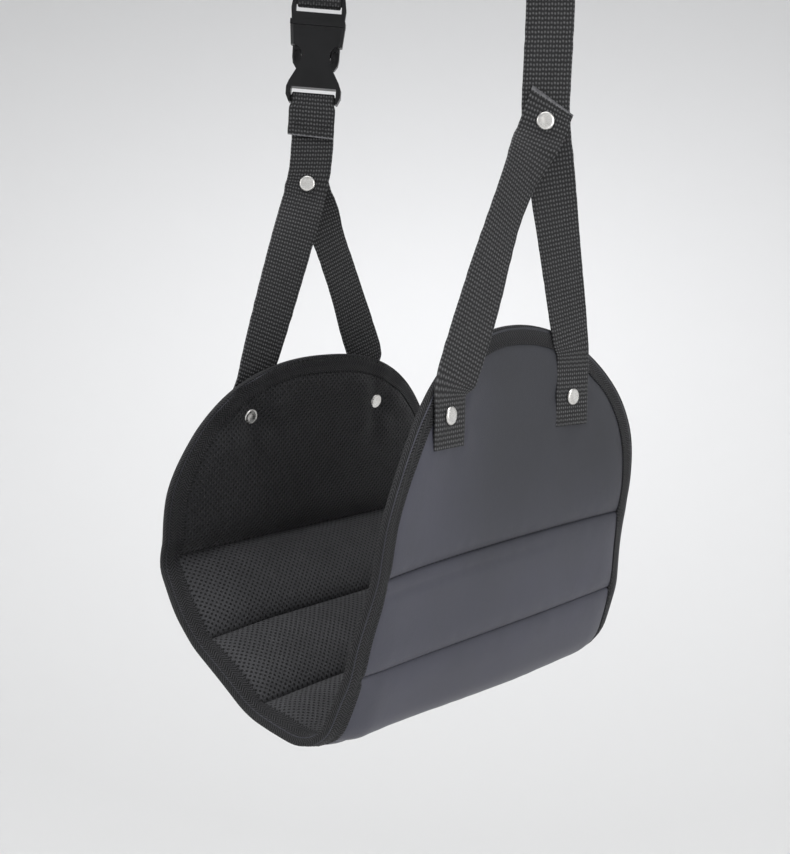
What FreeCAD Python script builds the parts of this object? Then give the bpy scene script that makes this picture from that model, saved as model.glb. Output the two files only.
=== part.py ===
import FreeCAD, Part
import math
import os

# Padded hanging foot sling: a channel-quilted pad bent into a U, carried by four riveted
# webbing legs, a strap that loops over its support, and a side-release buckle.
# Lengths are millimetres. The model is laid out in the sling's own frame, whose Z = 0 is the
# lowest line of the pad, X runs across the U and Y along it. export_node() then moves every
# piece so that the origin is the middle of the face that hangs on the support.
V = FreeCAD.Vector

# ---- driving dimensions ----------------------------------------------------------------
HALF_DEPTH = 118.0          # half of the pad's width, along Y
ARCH_HEIGHT = 98.5          # height of the half-ellipse that ends each upper panel
CUTTER_START = 40.0         # where the cut for a round end starts, out from the middle
CUTTER_REACH = 90.0         # and how far it reaches through the panel
SHEET = 0.8                 # thickness of the outer shell and of the mesh lining
FOAM = 5.5                  # thickness of the foam in the channels
FIT = 0.15                  # clearance between layers of soft goods
TAPE = 0.8                  # thickness of the edge binding tape
TAPE_WIDTH = 11.0           # how far the binding reaches in over each face
SEAM_RADIUS = 16.0          # bend radius of the pad at each sewn seam
SEAM_GAP = 3.0              # width of a sewn channel between two foam pads
THREAD = 0.8                # thickness of the row of stitches in a channel

# the pad's middle surface, seen along Y: far top, three far seams, three near seams, near top
FAR_TOP = (-77.0, 187.0)
FAR_SEAM_HIGH = (-81.5, 81.0)
FAR_SEAM_MIDDLE = (-48.0, 42.5)
FAR_SEAM_LOW = (-8.0, 14.0)
NEAR_SEAM_LOW = (41.5, 4.5)
NEAR_SEAM_MIDDLE = (62.0, 46.5)
NEAR_SEAM_HIGH = (69.0, 95.0)
NEAR_TOP = (70.5, 209.0)
PROFILE = [FAR_TOP, FAR_SEAM_HIGH, FAR_SEAM_MIDDLE, FAR_SEAM_LOW,
           NEAR_SEAM_LOW, NEAR_SEAM_MIDDLE, NEAR_SEAM_HIGH, NEAR_TOP]
PAD_NAMES = ["pad_far_upper", "pad_far_middle", "pad_far_lower", "pad_bottom",
             "pad_near_lower", "pad_near_middle", "pad_near_upper"]

WEBBING = 25.0              # webbing width
WEB = 1.5                   # webbing thickness
LAYER = 0.8                 # offset of each of two stacked webbing layers from their middle
LEG_SPREAD = 53.8           # distance of each panel rivet from the middle of its pair
LEG_SHIFT = -4.0            # the middle of each pair of legs, along Y
LEG_TAIL = 16.0             # webbing below each panel rivet
NEAR_RIVET_Z = 169.0
FAR_RIVET_Z = 155.0
NEAR_APEX = V(76.4, 17.2, 314.7)
FAR_APEX = V(-77.6, -5.4, 289.4)
FACING = 42.0               # azimuth that the webbing faces at the apexes and the buckle
ACROSS = V(math.cos(math.radians(FACING)), math.sin(math.radians(FACING)), 0)
TOWARDS = V(math.sin(math.radians(FACING)), -math.cos(math.radians(FACING)), 0)
NEAR_LEAN = 0.032           # sideways drift of the near strap for each mm of height
FAR_LEAN = 0.079            # the same on the far strap, along ACROSS
BEND_GAP = 3.0              # half height of the free webbing where the sling rocks
NEAR_BEND_UP = 21.0         # height of that stretch above the near apex rivet
FAR_BEND_UP = 20.0          # and above the far one

CAP_RADIUS = 5.0            # rivet caps
CAP_HEIGHT = 1.3
SHANK_RADIUS = 2.0
SHANK_HOLE = 2.1

SLOT_CENTRE_Z = 342.0       # height of the buckle socket's webbing slot
SOCKET_HALF = 16.0          # half width of the socket at its slot
SOCKET_THICK = 9.0
SOCKET_MOUTH = 37.0         # height of the mouth above the slot's centre
# half width of the socket's faces at each height, from the slot to the top of its windows
NECK = [(2.0, 16.0), (5.5, 14.6), (9.2, 12.5), (12.9, 10.4), (16.5, 8.9), (20.0, 8.2),
        (22.8, 8.8), (25.0, 10.4), (26.0, 12.2)]
MOUTH_CHAMFER = 1.9         # on the sides of the socket's mouth
WINDOW_LOW = 12.0
WINDOW_HIGH = 26.0
WALL = 1.6
CAVITY_HALF = 12.9          # half width of the room for the plug inside the socket
LATCH_HALF = 13.7           # how far out each prong's latch head reaches
POCKET_DEPTH = 1.6          # of the oval pocket in each latch head
POCKET_RADIUS = 1.35
ARM_ROOT = 37.05            # height at which each prong leaves the plug
PLUG_SLOT = 47.0            # height of the plug's webbing slot above the socket's slot
SLOT_HALF = 2.1             # half height of both slots
BAR = 4.4                   # height of both webbing bars
PLUG_THICK = 4.6
PLUG_TOP = PLUG_SLOT + SLOT_HALF + BAR
SOCKET_BAR_HALF = 1.6       # half thickness of the two webbing bars
PLUG_BAR_HALF = 1.3
PLUG_BAR_Y = PLUG_SLOT + SLOT_HALF + PLUG_BAR_HALF

SLIDER_Z = 419.0            # middle of the tri-glide on the near strap
SLIDER_BAR = 3.2
SLIDER_SLOT = 6.6
SLIDER_THICK = 2.6
SLIDER_HALF = 16.5
RING = 1.3                  # webbing thickness where it is sewn round the middle bar
PASS_TOP_Z = 458.0          # top of the stretch of strap that the slider runs on
PASS_LOW_Z = 397.0
BEND_Z = 470.0              # height at which the strap starts to turn over its support
BEND_RADIUS = 24.0
BEND_STEPS = 8
TOP_Z = BEND_Z + BEND_RADIUS


# ---- small helpers ---------------------------------------------------------------------
def facing(azimuth):
    """Horizontal unit vector that webbing at this azimuth faces."""
    turn = math.radians(azimuth)
    return V(math.sin(turn), -math.cos(turn), 0)


def along_width(azimuth):
    """Horizontal unit vector across webbing that faces this azimuth."""
    turn = math.radians(azimuth)
    return V(math.cos(turn), math.sin(turn), 0)


def near_line(z):
    """Middle of the near strap at a height above the near apex."""
    return NEAR_APEX + ACROSS * (NEAR_LEAN * (z - NEAR_APEX.z)) + V(0, 0, z - NEAR_APEX.z)


def far_line(z):
    """Middle of the far strap at a height above the far apex."""
    return FAR_APEX + ACROSS * (FAR_LEAN * (z - FAR_APEX.z)) + V(0, 0, z - FAR_APEX.z)


RUN = near_line(BEND_Z) - far_line(BEND_Z)
RUN.z = 0
RUN.normalize()                                     # direction of the loop's top run
RUN_ACROSS = V(-RUN.y, RUN.x, 0)
RUN_FACING = math.degrees(math.atan2(RUN.x, -RUN.y))  # azimuth of the strap at the top bends
LEAN_UP = V(0, 0, 1) + ACROSS * FAR_LEAN
LEAN_UP.normalize()                                 # the buckle's own up direction
LEAN_ACROSS = TOWARDS.cross(LEAN_UP) * -1.0
TOP_MIDDLE = (near_line(BEND_Z) + far_line(BEND_Z)) * 0.5
HANG_POINT = V(TOP_MIDDLE.x, TOP_MIDDLE.y, TOP_Z - LAYER - WEB / 2)


def export_node(shape, name):
    moved = shape.copy()
    moved.translate(HANG_POINT * -1.0)
    for solid in moved.Solids:
        assert solid.isValid() and solid.Volume > 0, name
    Part.makeCompound(moved.Solids).exportStep("parts/%s.step" % name)


def placed_by(shape, across, up, out, origin):
    """Copy of a shape moved from the drawing's X, Y and Z to three directions at an origin."""
    placed = shape.copy()
    placed.transformShape(FreeCAD.Matrix(across.x, up.x, out.x, origin.x,
                                         across.y, up.y, out.y, origin.y,
                                         across.z, up.z, out.z, origin.z, 0, 0, 0, 1))
    return placed


def closed_face(points):
    return Part.Face(Part.makePolygon([V(*p) for p in points] + [V(*points[0])]))


# ---- the quilted pad -------------------------------------------------------------------
def corner(index):
    """Bend of the middle surface at one seam: centre, start angle and turn, in X and Z."""
    x0, z0 = PROFILE[index - 1]
    x1, z1 = PROFILE[index]
    x2, z2 = PROFILE[index + 1]
    into = math.atan2(z1 - z0, x1 - x0)
    out = math.atan2(z2 - z1, x2 - x1)
    turn = out - into
    tangent = SEAM_RADIUS * math.tan(turn / 2)
    start_x = x1 - tangent * math.cos(into)
    start_z = z1 - tangent * math.sin(into)
    centre = (start_x - SEAM_RADIUS * math.sin(into), start_z + SEAM_RADIUS * math.cos(into))
    return centre, into, turn


def end_point(index, offset):
    """Top corner of the profile, moved outwards by offset."""
    neighbour = 1 if index == 0 else len(PROFILE) - 2
    first, second = (index, neighbour) if index == 0 else (neighbour, index)
    heading = math.atan2(PROFILE[second][1] - PROFILE[first][1],
                         PROFILE[second][0] - PROFILE[first][0])
    x, z = PROFILE[index]
    return V(x + offset * math.sin(heading), 0, z - offset * math.cos(heading))


def profile_edges(offset):
    """Lines and arcs of the U at a distance outside its middle surface."""
    edges = []
    last = end_point(0, offset)
    radius = SEAM_RADIUS + offset
    for index in range(1, len(PROFILE) - 1):
        centre, into, turn = corner(index)
        points = []
        for part in (0.0, 0.5, 1.0):
            angle = into + turn * part
            points.append(V(centre[0] + radius * math.sin(angle), 0,
                            centre[1] - radius * math.cos(angle)))
        edges.append(Part.LineSegment(last, points[0]).toShape())
        edges.append(Part.Arc(*points).toShape())
        last = points[2]
    edges.append(Part.LineSegment(last, end_point(len(PROFILE) - 1, offset)).toShape())
    return edges


def arch_cutter(near, inset):
    """What lies outside a panel's half-ellipse end, inset by a margin."""
    top = NEAR_TOP if near else FAR_TOP
    spring_z = top[1] - ARCH_HEIGHT
    x = CUTTER_START if near else -CUTTER_START - CUTTER_REACH
    ellipse = Part.Ellipse(V(0, 0, 0), HALF_DEPTH - inset, ARCH_HEIGHT - inset)
    face = Part.Face(Part.Wire(ellipse.toShape()))
    # the ellipse is drawn in X and Y, then stood up in Y and Z
    face.Placement = FreeCAD.Placement(V(x, 0, spring_z), FreeCAD.Rotation(V(1, 1, 1), 120))
    arch = face.extrude(V(CUTTER_REACH, 0, 0))
    around = Part.makeBox(CUTTER_REACH, 4 * HALF_DEPTH, 2 * ARCH_HEIGHT, V(x, -2 * HALF_DEPTH, spring_z))
    return around.cut(arch)


def slab(low, high, inset):
    """The bent pad between two offsets from its middle surface, inset from its outline."""
    outer, inner = profile_edges(high), profile_edges(low)
    caps = [Part.makeLine(end_point(0, high), end_point(0, low)),
            Part.makeLine(end_point(len(PROFILE) - 1, high), end_point(len(PROFILE) - 1, low))]
    section = Part.Face(Part.Wire(Part.__sortEdges__(outer + inner + caps)))
    half = HALF_DEPTH - inset
    section.translate(V(0, -half, 0))
    solid = section.extrude(V(0, 2 * half, 0))
    return solid.cut(arch_cutter(True, inset)).cut(arch_cutter(False, inset))


def seam_wall(index, thickness, half, reach):
    """Thin wall through the pad along one seam, standing across its bend."""
    centre, into, turn = corner(index)
    angle = into + turn / 2
    nx, nz = math.sin(angle), -math.cos(angle)
    tx, tz = math.cos(angle), math.sin(angle)
    mx, mz = centre[0] + SEAM_RADIUS * nx, centre[1] + SEAM_RADIUS * nz
    points = []
    for side, depth in ((-1, -1), (1, -1), (1, 1), (-1, 1)):
        along, across = side * thickness / 2, depth * reach
        points.append((mx + tx * along + nx * across, -half, mz + tz * along + nz * across))
    return closed_face(points).extrude(V(0, 2 * half, 0))


FOAM_HALF = FOAM / 2
SHELL_IN = FOAM_HALF + FIT
SHELL_OUT = SHELL_IN + SHEET
TAPE_IN = SHELL_OUT + FIT
TAPE_OUT = TAPE_IN + TAPE
LEG_OFFSET = TAPE_OUT + 0.1 + WEB / 2      # middle of a leg, outside the pad's middle surface
PAD_INSET = 2.6
SHELL_INSET = 1.4


def foam_pads():
    block = slab(-FOAM_HALF, FOAM_HALF, PAD_INSET)
    for index in range(1, len(PROFILE) - 1):
        block = block.cut(seam_wall(index, SEAM_GAP, HALF_DEPTH, FOAM))
    middles = [((a[0] + b[0]) / 2, (a[1] + b[1]) / 2) for a, b in zip(PROFILE, PROFILE[1:])]
    pads = {}
    for name, (x, z) in zip(PAD_NAMES, middles):
        pads[name] = min(block.Solids, key=lambda s: math.hypot(s.CenterOfMass.x - x,
                                                                s.CenterOfMass.z - z))
    return pads


def quilting_seams():
    seams = []
    for index in range(1, len(PROFILE) - 1):
        wall = seam_wall(index, THREAD, HALF_DEPTH - TAPE_WIDTH, FOAM)
        seams.append(wall.common(slab(-FOAM_HALF, FOAM_HALF, PAD_INSET)))
    return Part.makeCompound(seams)


def edge_binding():
    whole = slab(-TAPE_OUT, TAPE_OUT, 0)
    core = slab(-TAPE_IN, TAPE_IN, TAPE)
    window = slab(-2 * TAPE_OUT, 2 * TAPE_OUT, TAPE_WIDTH)
    return whole.cut(core).cut(window)


# ---- webbing ---------------------------------------------------------------------------
def ribbon(stations):
    """Webbing through stations of (middle, direction across, direction it faces)."""
    wires = []
    for middle, across, normal in stations:
        corners = []
        for side, depth in ((-1, -1), (1, -1), (1, 1), (-1, 1)):
            corners.append(middle + across * (side * WEBBING / 2) + normal * (depth * WEB / 2))
        wires.append(Part.makePolygon(corners + corners[:1]))
    loft = Part.makeLoft(wires, True, True)
    return loft if loft.Volume > 0 else loft.reversed()


def hanging(line, heights, azimuths):
    """Stations up one of the two straps."""
    return [(line(z), along_width(a), facing(a)) for z, a in zip(heights, azimuths)]


def panel_frame(near):
    """Heading up a panel and the direction its outer face looks."""
    low, high = (NEAR_SEAM_HIGH, NEAR_TOP) if near else (FAR_SEAM_HIGH, FAR_TOP)
    up = V(high[0] - low[0], 0, high[1] - low[1])
    up.normalize()
    outwards = V(up.z, 0, -up.x) if near else V(-up.z, 0, up.x)
    return V(low[0], 0, low[1]), up, outwards


def panel_point(near, z, y, offset):
    """Point at a height on a panel, moved outwards from its middle surface."""
    base, up, outwards = panel_frame(near)
    return base + up * ((z - base.z) / up.z) + outwards * offset + V(0, y, 0)


# how far along the free part of a leg its outer face points to which azimuth
TWIST = {("near", -1): [(0.12, 78), (0.3, 71), (0.55, 79), (0.78, 82), (0.93, 55)],
         ("near", 1): [(0.12, 77), (0.3, 70), (0.55, 63), (0.78, 51), (0.93, 44)],
         ("far", -1): [(0.12, 84), (0.3, 76), (0.55, 66), (0.78, 54), (0.93, 44)],
         ("far", 1): [(0.12, 84), (0.3, 76), (0.55, 66), (0.78, 54), (0.93, 44)]}
FLAT_AT_APEX = 8.0          # length of leg below each apex rivet that lies in the rivet's plane
LEG_TIP = 13.0              # length of a short leg past the apex rivet
CUT_SKEW = 12.0             # angle of a short leg's cut end to its own square, in degrees


def squared(middle, azimuth, heading):
    """Station of webbing that faces an azimuth and is square to its heading."""
    across = along_width(azimuth)
    across = across - heading * across.dot(heading)
    across.normalize()
    normal = across.cross(heading)
    return (middle, across, normal)


def leg_stations(near, side, apex, lift, leave):
    """A leg: flat on its panel past the rivet, then a straight twisting run to the apex."""
    rivet_z = NEAR_RIVET_Z if near else FAR_RIVET_Z
    y = LEG_SHIFT + side * LEG_SPREAD
    outwards = panel_frame(near)[2]
    normal = outwards if near else outwards * -1.0
    leave_z = (NEAR_TOP if near else FAR_TOP)[1] - leave
    across = V(0, 1, 0)
    stations = [(panel_point(near, rivet_z - LEG_TAIL, y, LEG_OFFSET), across, normal),
                (panel_point(near, leave_z, y, LEG_OFFSET), across, normal)]
    start = stations[-1][0]
    heading = apex - start
    in_plane = heading - TOWARDS * heading.dot(TOWARDS)
    in_plane.normalize()
    finish = apex + lift - in_plane * FLAT_AT_APEX
    heading = finish - start
    heading.normalize()
    for part, azimuth in TWIST[("near" if near else "far", side)]:
        stations.append(squared(start + (finish - start) * part, azimuth, heading))
    return stations, in_plane


def short_leg(near, side):
    """Leg whose cut end lies over, or behind, the strap at the apex."""
    apex = NEAR_APEX if near else FAR_APEX
    lift = TOWARDS * ((1 if near else -1) * (WEB + 0.15))
    stations, in_plane = leg_stations(near, side, apex, lift, 11.0)
    square = squared(apex + lift - in_plane * FLAT_AT_APEX, FACING, in_plane)
    skew = FreeCAD.Rotation(TOWARDS, side * CUT_SKEW)
    tip = (apex + lift + in_plane * LEG_TIP, skew.multVec(square[1]), square[2])
    return ribbon(stations + [square, tip])


def strap_leg(near, side):
    """Leg that runs on upwards as the strap, as far as the stretch that rocks."""
    line = near_line if near else far_line
    apex = NEAR_APEX if near else FAR_APEX
    rise = NEAR_BEND_UP if near else FAR_BEND_UP
    stations, in_plane = leg_stations(near, side, apex, V(0, 0, 0), 5.0)
    square = squared(apex - in_plane * FLAT_AT_APEX, FACING, in_plane)
    above = [(line(apex.z + up), ACROSS, TOWARDS) for up in (FLAT_AT_APEX, rise - BEND_GAP)]
    return ribbon(stations + [square] + above)


# ---- rivets ----------------------------------------------------------------------------
def cylinder(radius, height, base, axis):
    return Part.makeCylinder(radius, height, base, axis)


def rivet(base, axis, grip):
    """Double-cap rivet through a stack of thickness grip whose back face holds base."""
    cap = cylinder(CAP_RADIUS, CAP_HEIGHT, base + axis * grip, axis)
    rim = [e for e in cap.Edges if e.Curve.TypeId == "Part::GeomCircle"
           and (e.CenterOfMass - base).dot(axis) > grip + CAP_HEIGHT / 2]
    post = cap.makeFillet(CAP_HEIGHT * 0.7, rim)
    post = post.fuse(cylinder(SHANK_RADIUS, grip + 0.6, base - axis * 0.6, axis)).removeSplitter()
    back = cylinder(CAP_RADIUS, CAP_HEIGHT, base - axis * CAP_HEIGHT, axis)
    rim = [e for e in back.Edges if e.Curve.TypeId == "Part::GeomCircle"
           and (e.CenterOfMass - base).dot(axis) < -CAP_HEIGHT / 2]
    back = back.makeFillet(CAP_HEIGHT * 0.7, rim)
    back = back.cut(cylinder(SHANK_RADIUS + 0.05, 0.7, base - axis * 0.65, axis))
    hole = cylinder(SHANK_HOLE, grip + 0.2, base - axis * 0.1, axis)
    return post, back, hole


def panel_rivets():
    posts, backs, holes = [], [], []
    for near in (True, False):
        rivet_z = NEAR_RIVET_Z if near else FAR_RIVET_Z
        outwards = panel_frame(near)[2]
        for side in (-1, 1):
            y = LEG_SHIFT + side * LEG_SPREAD
            base = panel_point(near, rivet_z, y, -SHELL_OUT)
            grip = SHELL_OUT + LEG_OFFSET + WEB / 2
            post, back, hole = rivet(base, outwards, grip)
            posts.append(post)
            backs.append(back)
            holes.append(hole)
    return posts, backs, holes


def apex_rivets():
    posts, backs, holes = [], [], []
    for near in (True, False):
        apex = NEAR_APEX if near else FAR_APEX
        start = -WEB / 2 if near else -(1.5 * WEB + 0.15)
        grip = 2 * WEB + 0.15
        post, back, hole = rivet(apex + TOWARDS * start, TOWARDS, grip)
        posts.append(post)
        backs.append(back)
        holes.append(hole)
    return posts, backs, holes


# ---- side-release buckle ----------------------------------------------------------------
# Buckle pieces are drawn flat, X across, Y up from the middle of the socket's slot and Z
# out of the buckle's front face, and then set on the leaning far strap.
def place_buckle(shape):
    return placed_by(shape, LEAN_ACROSS, LEAN_UP, TOWARDS, far_line(SLOT_CENTRE_Z))


def plate(points, thickness):
    """Flat plate centred on Z = 0 from an outline of (x, y), mirrored across X = 0."""
    left = [(-x, y) for x, y in reversed(points)]
    outline = [(x, y, -thickness / 2) for x, y in points + left]
    return closed_face(outline).extrude(V(0, 0, thickness))


def block(x0, x1, y0, y1, thickness):
    return Part.makeBox(x1 - x0, y1 - y0, thickness, V(x0, y0, -thickness / 2))


SLOT_WIDTH = WEBBING / 2 + 0.8
SOCKET_BASE = -SLOT_HALF - BAR


def socket_outline():
    """Half outline: flared at the slot, drawn in at the neck, full width at the mouth."""
    points = [(SLOT_WIDTH + 0.9, SOCKET_BASE), (SOCKET_HALF, SOCKET_BASE + 4.0)]
    points += [(half, height) for height, half in NECK]
    points += [(SOCKET_HALF - 1.0, WINDOW_HIGH), (SOCKET_HALF, SOCKET_MOUTH)]
    return points


def buckle_socket():
    body = plate(socket_outline(), SOCKET_THICK)
    sides = []
    for edge in body.Edges:
        middle = edge.CenterOfMass
        if middle.y > WINDOW_HIGH + 1 and abs(middle.x) > CAVITY_HALF and abs(middle.z) > WALL:
            sides.append(edge)
    body = body.makeChamfer(MOUTH_CHAMFER, sides)
    body = body.cut(block(-SLOT_WIDTH, SLOT_WIDTH, -SLOT_HALF, SLOT_HALF, 2 * SOCKET_THICK))
    cavity = block(-CAVITY_HALF, CAVITY_HALF, 9.0, SOCKET_MOUTH + 1, SOCKET_THICK - 2 * WALL)
    windows = block(-20, 20, WINDOW_LOW, WINDOW_HIGH, SOCKET_THICK - 2 * WALL)
    body = body.cut(cavity).cut(windows)
    # the webbing bar is thinner than the body, so that folded webbing lies flush
    room = block(-SLOT_WIDTH, SLOT_WIDTH, SOCKET_BASE - 1, 0, 2 * SOCKET_THICK)
    return body.cut(room).fuse(webbing_bar(SOCKET_BASE, -SLOT_HALF, SOCKET_BAR_HALF))


def webbing_bar(far_edge, slot_edge, half):
    """Bar across a webbing slot, rounded on the slot's side."""
    middle = slot_edge + math.copysign(half, far_edge - slot_edge)
    low, high = min(far_edge, middle), max(far_edge, middle)
    reach = SLOT_WIDTH + 0.6
    flat = block(-reach, reach, low, high, 2 * half)
    nose = Part.makeCylinder(half, 2 * reach, V(-reach, middle, 0), V(1, 0, 0))
    return flat.fuse(nose)


def buckle_plug():
    shoulder = plate([(SOCKET_HALF, SOCKET_MOUTH + 0.3), (SOCKET_HALF, SOCKET_MOUTH + 3.3)],
                     SOCKET_THICK)
    frame = plate([(SOCKET_HALF - 0.6, SOCKET_MOUTH + 3.3), (SOCKET_HALF, PLUG_SLOT),
                   (SOCKET_HALF - 1.0, PLUG_TOP)], PLUG_THICK)
    frame = frame.cut(block(-SLOT_WIDTH, SLOT_WIDTH, PLUG_SLOT - SLOT_HALF,
                            PLUG_SLOT + SLOT_HALF, 2 * PLUG_THICK))
    tongue = block(-2.8, 2.8, 16.0, SOCKET_MOUTH + 0.3, SOCKET_THICK - 2 * WALL - 0.4)
    room = block(-SLOT_WIDTH, SLOT_WIDTH, PLUG_SLOT, PLUG_TOP + 1, 2 * PLUG_THICK)
    bar = webbing_bar(PLUG_TOP, PLUG_SLOT + SLOT_HALF, PLUG_BAR_HALF)
    return shoulder.fuse(frame.cut(room)).fuse(tongue).fuse(bar).removeSplitter()


def prong(side):
    """Springy arm whose latch head, with an oval pocket, shows in a side window."""
    thick = SOCKET_THICK - 2 * WALL - 0.4
    latch = WINDOW_HIGH - 0.6
    outline = [(9.6, ARM_ROOT), (12.4, ARM_ROOT), (12.6, latch), (LATCH_HALF, latch),
               (LATCH_HALF, 19.0), (13.1, 15.6), (11.2, 12.8), (9.4, 13.2), (8.7, 18.0), (9.2, 24.0)]
    points = [(side * x, y, -thick / 2) for x, y in outline]
    arm = closed_face(points).extrude(V(0, 0, thick))
    floor = thick / 2 - POCKET_DEPTH
    middle, low, high = side * 11.3, 17.6, 22.2
    pocket = Part.makeBox(2 * POCKET_RADIUS, high - low, thick, V(middle - POCKET_RADIUS, low, floor))
    for y in (low, high):
        pocket = pocket.fuse(Part.makeCylinder(POCKET_RADIUS, thick, V(middle, y, floor)))
    return arm.cut(pocket)


def web_turn(centre_y, up, reach_front, reach_back, bar_half):
    """Webbing folded round a webbing bar: front layer, half turn, back layer."""
    turn_radius = bar_half + 0.15 + WEB / 2
    stations = [(V(0, centre_y + up * reach_front, turn_radius), V(1, 0, 0), V(0, 0, 1))]
    steps = 8
    for step in range(steps + 1):
        angle = math.pi * step / steps
        out = V(0, -up * math.sin(angle), math.cos(angle))
        stations.append((V(0, centre_y, 0) + out * turn_radius, V(1, 0, 0), out))
    stations.append((V(0, centre_y + up * reach_back, -turn_radius), V(1, 0, 0), V(0, 0, -1)))
    return ribbon(stations)


# ---- straps ----------------------------------------------------------------------------
FLAP_LENGTH = 22.0
BACK_REACH = 8.0            # length of the fold's back layer below the bar
TURN_REACH = 5.0            # length of webbing on each side of the plug's bar that moves with it


def buckle_strap():
    """Strap from the rocking stretch up round the socket's bar, with its sewn-down flap."""
    bar_y = -SLOT_HALF - SOCKET_BAR_HALF
    fold = place_buckle(web_turn(bar_y, -1, FLAP_LENGTH, BACK_REACH, SOCKET_BAR_HALF))
    low = FAR_APEX.z + FAR_BEND_UP + BEND_GAP
    back = -(SOCKET_BAR_HALF + 0.15 + WEB / 2)
    top = SLOT_CENTRE_Z + bar_y - BACK_REACH
    stations = [(far_line(low), ACROSS, TOWARDS),
                (far_line(low + 3.0) + TOWARDS * (-0.4), ACROSS, TOWARDS),
                (far_line(low + 9.0) + TOWARDS * back, ACROSS, TOWARDS),
                (far_line(top + 0.3) + TOWARDS * back, ACROSS, TOWARDS)]
    return ribbon(stations).fuse(fold).removeSplitter()


def plug_web_turn():
    """Short turn of webbing round the plug's bar, which moves with the plug."""
    return place_buckle(web_turn(PLUG_BAR_Y, 1, TURN_REACH, TURN_REACH, PLUG_BAR_HALF))


def far_run():
    """Both layers between the plug and the top bend; they slacken when the plug lifts."""
    foot = far_line(SLOT_CENTRE_Z) + LEAN_UP * (PLUG_BAR_Y + TURN_REACH + 0.05)
    gap = PLUG_BAR_HALF + 0.15 + WEB / 2
    heights = [foot.z + 20, foot.z + 42, BEND_Z - 8, BEND_Z]
    spread = [LAYER + 0.8, LAYER, LAYER, LAYER]
    azimuths = [FACING + 12, FACING + 34, RUN_FACING, RUN_FACING]
    layers = []
    for side in (1, -1):
        stations = [(foot + TOWARDS * (side * gap), LEAN_ACROSS, TOWARDS)]
        stations += [(far_line(z) + facing(a) * (side * s), along_width(a), facing(a))
                     for z, s, a in zip(heights, spread, azimuths)]
        layers.append(ribbon(stations))
    return Part.makeCompound(layers)


def near_strap():
    low = NEAR_APEX.z + NEAR_BEND_UP + BEND_GAP
    return ribbon(hanging(near_line, [low, 375.0, PASS_LOW_Z], [FACING, FACING, 55.0]))


def rocking_stretch(near):
    """Free webbing just above an apex, where the strap flexes as the sling rocks."""
    line, apex = (near_line, NEAR_APEX) if near else (far_line, FAR_APEX)
    middle = apex.z + (NEAR_BEND_UP if near else FAR_BEND_UP)
    return ribbon(hanging(line, [middle - BEND_GAP, middle + BEND_GAP], [FACING, FACING]))


SLIDER_FACING = 72.0
SLIDER_PITCH = SLIDER_BAR + SLIDER_SLOT


def place_on_slider(shape):
    """Set a piece drawn flat, X across, Y up and Z outwards, at the slider's place."""
    origin = near_line(SLIDER_Z) + facing(SLIDER_FACING) * LAYER
    return placed_by(shape, along_width(SLIDER_FACING), V(0, 0, 1), facing(SLIDER_FACING), origin)


def strap_slider():
    """Tri-glide: a frame with three bars."""
    height = 3 * SLIDER_BAR + 2 * SLIDER_SLOT
    body = Part.makeBox(2 * SLIDER_HALF, height, SLIDER_THICK,
                        V(-SLIDER_HALF, -height / 2, -SLIDER_THICK / 2))
    uprights = [e for e in body.Edges if abs(e.tangentAt(e.FirstParameter).z) > 0.9]
    body = body.makeFillet(2.0, uprights)
    for side in (-1, 1):
        middle = side * SLIDER_PITCH / 2
        body = body.cut(Part.makeBox(2 * SLOT_WIDTH, SLIDER_SLOT, 2 * SLIDER_THICK,
                                     V(-SLOT_WIDTH, middle - SLIDER_SLOT / 2, -SLIDER_THICK)))
    return place_on_slider(body)


RING_HALF = SLIDER_BAR / 2 + 0.15 + RING / 2
RING_DEPTH = SLIDER_THICK / 2 + 0.15 + RING / 2


def slider_web_loop():
    """End of the webbing, wrapped round the slider's middle bar and sewn."""
    outer = Part.makeBox(WEBBING, 2 * RING_HALF + RING, 2 * RING_DEPTH + RING,
                         V(-WEBBING / 2, -RING_HALF - RING / 2, -RING_DEPTH - RING / 2))
    inner = Part.makeBox(WEBBING + 2, 2 * RING_HALF - RING, 2 * RING_DEPTH - RING,
                         V(-WEBBING / 2 - 1, -RING_HALF + RING / 2, -RING_DEPTH + RING / 2))
    return place_on_slider(outer.cut(inner))


def slider_pass():
    """The strap threaded over the slider's middle bar, and the sewn end behind it."""
    behind = LAYER - SLIDER_THICK / 2 - 0.4 - WEB / 2
    over = LAYER + RING_DEPTH + RING / 2 + 0.15 + WEB / 2
    rise = [PASS_LOW_Z - SLIDER_Z, -13.0, -8.2, -3.3, 3.3, 8.2, 13.0, 22.0, PASS_TOP_Z - SLIDER_Z]
    offsets = [0.0, behind, behind, over, over, behind, behind, LAYER, LAYER]
    azimuths = [55.0] + [SLIDER_FACING] * 6 + [82.0, RUN_FACING]
    main = ribbon([(near_line(SLIDER_Z + r) + facing(a) * o, along_width(a), facing(a))
                   for r, o, a in zip(rise, offsets, azimuths)])
    tail_offset = behind - WEB - 0.2
    rise = [4.0, 13.0, 22.0, PASS_TOP_Z - SLIDER_Z]
    offsets = [tail_offset, tail_offset, -LAYER, -LAYER]
    azimuths = [SLIDER_FACING, SLIDER_FACING, 82.0, RUN_FACING]
    tail = ribbon([(near_line(SLIDER_Z + r) + facing(a) * o, along_width(a), facing(a))
                   for r, o, a in zip(rise, offsets, azimuths)])
    return Part.makeCompound([main, tail])


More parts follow.
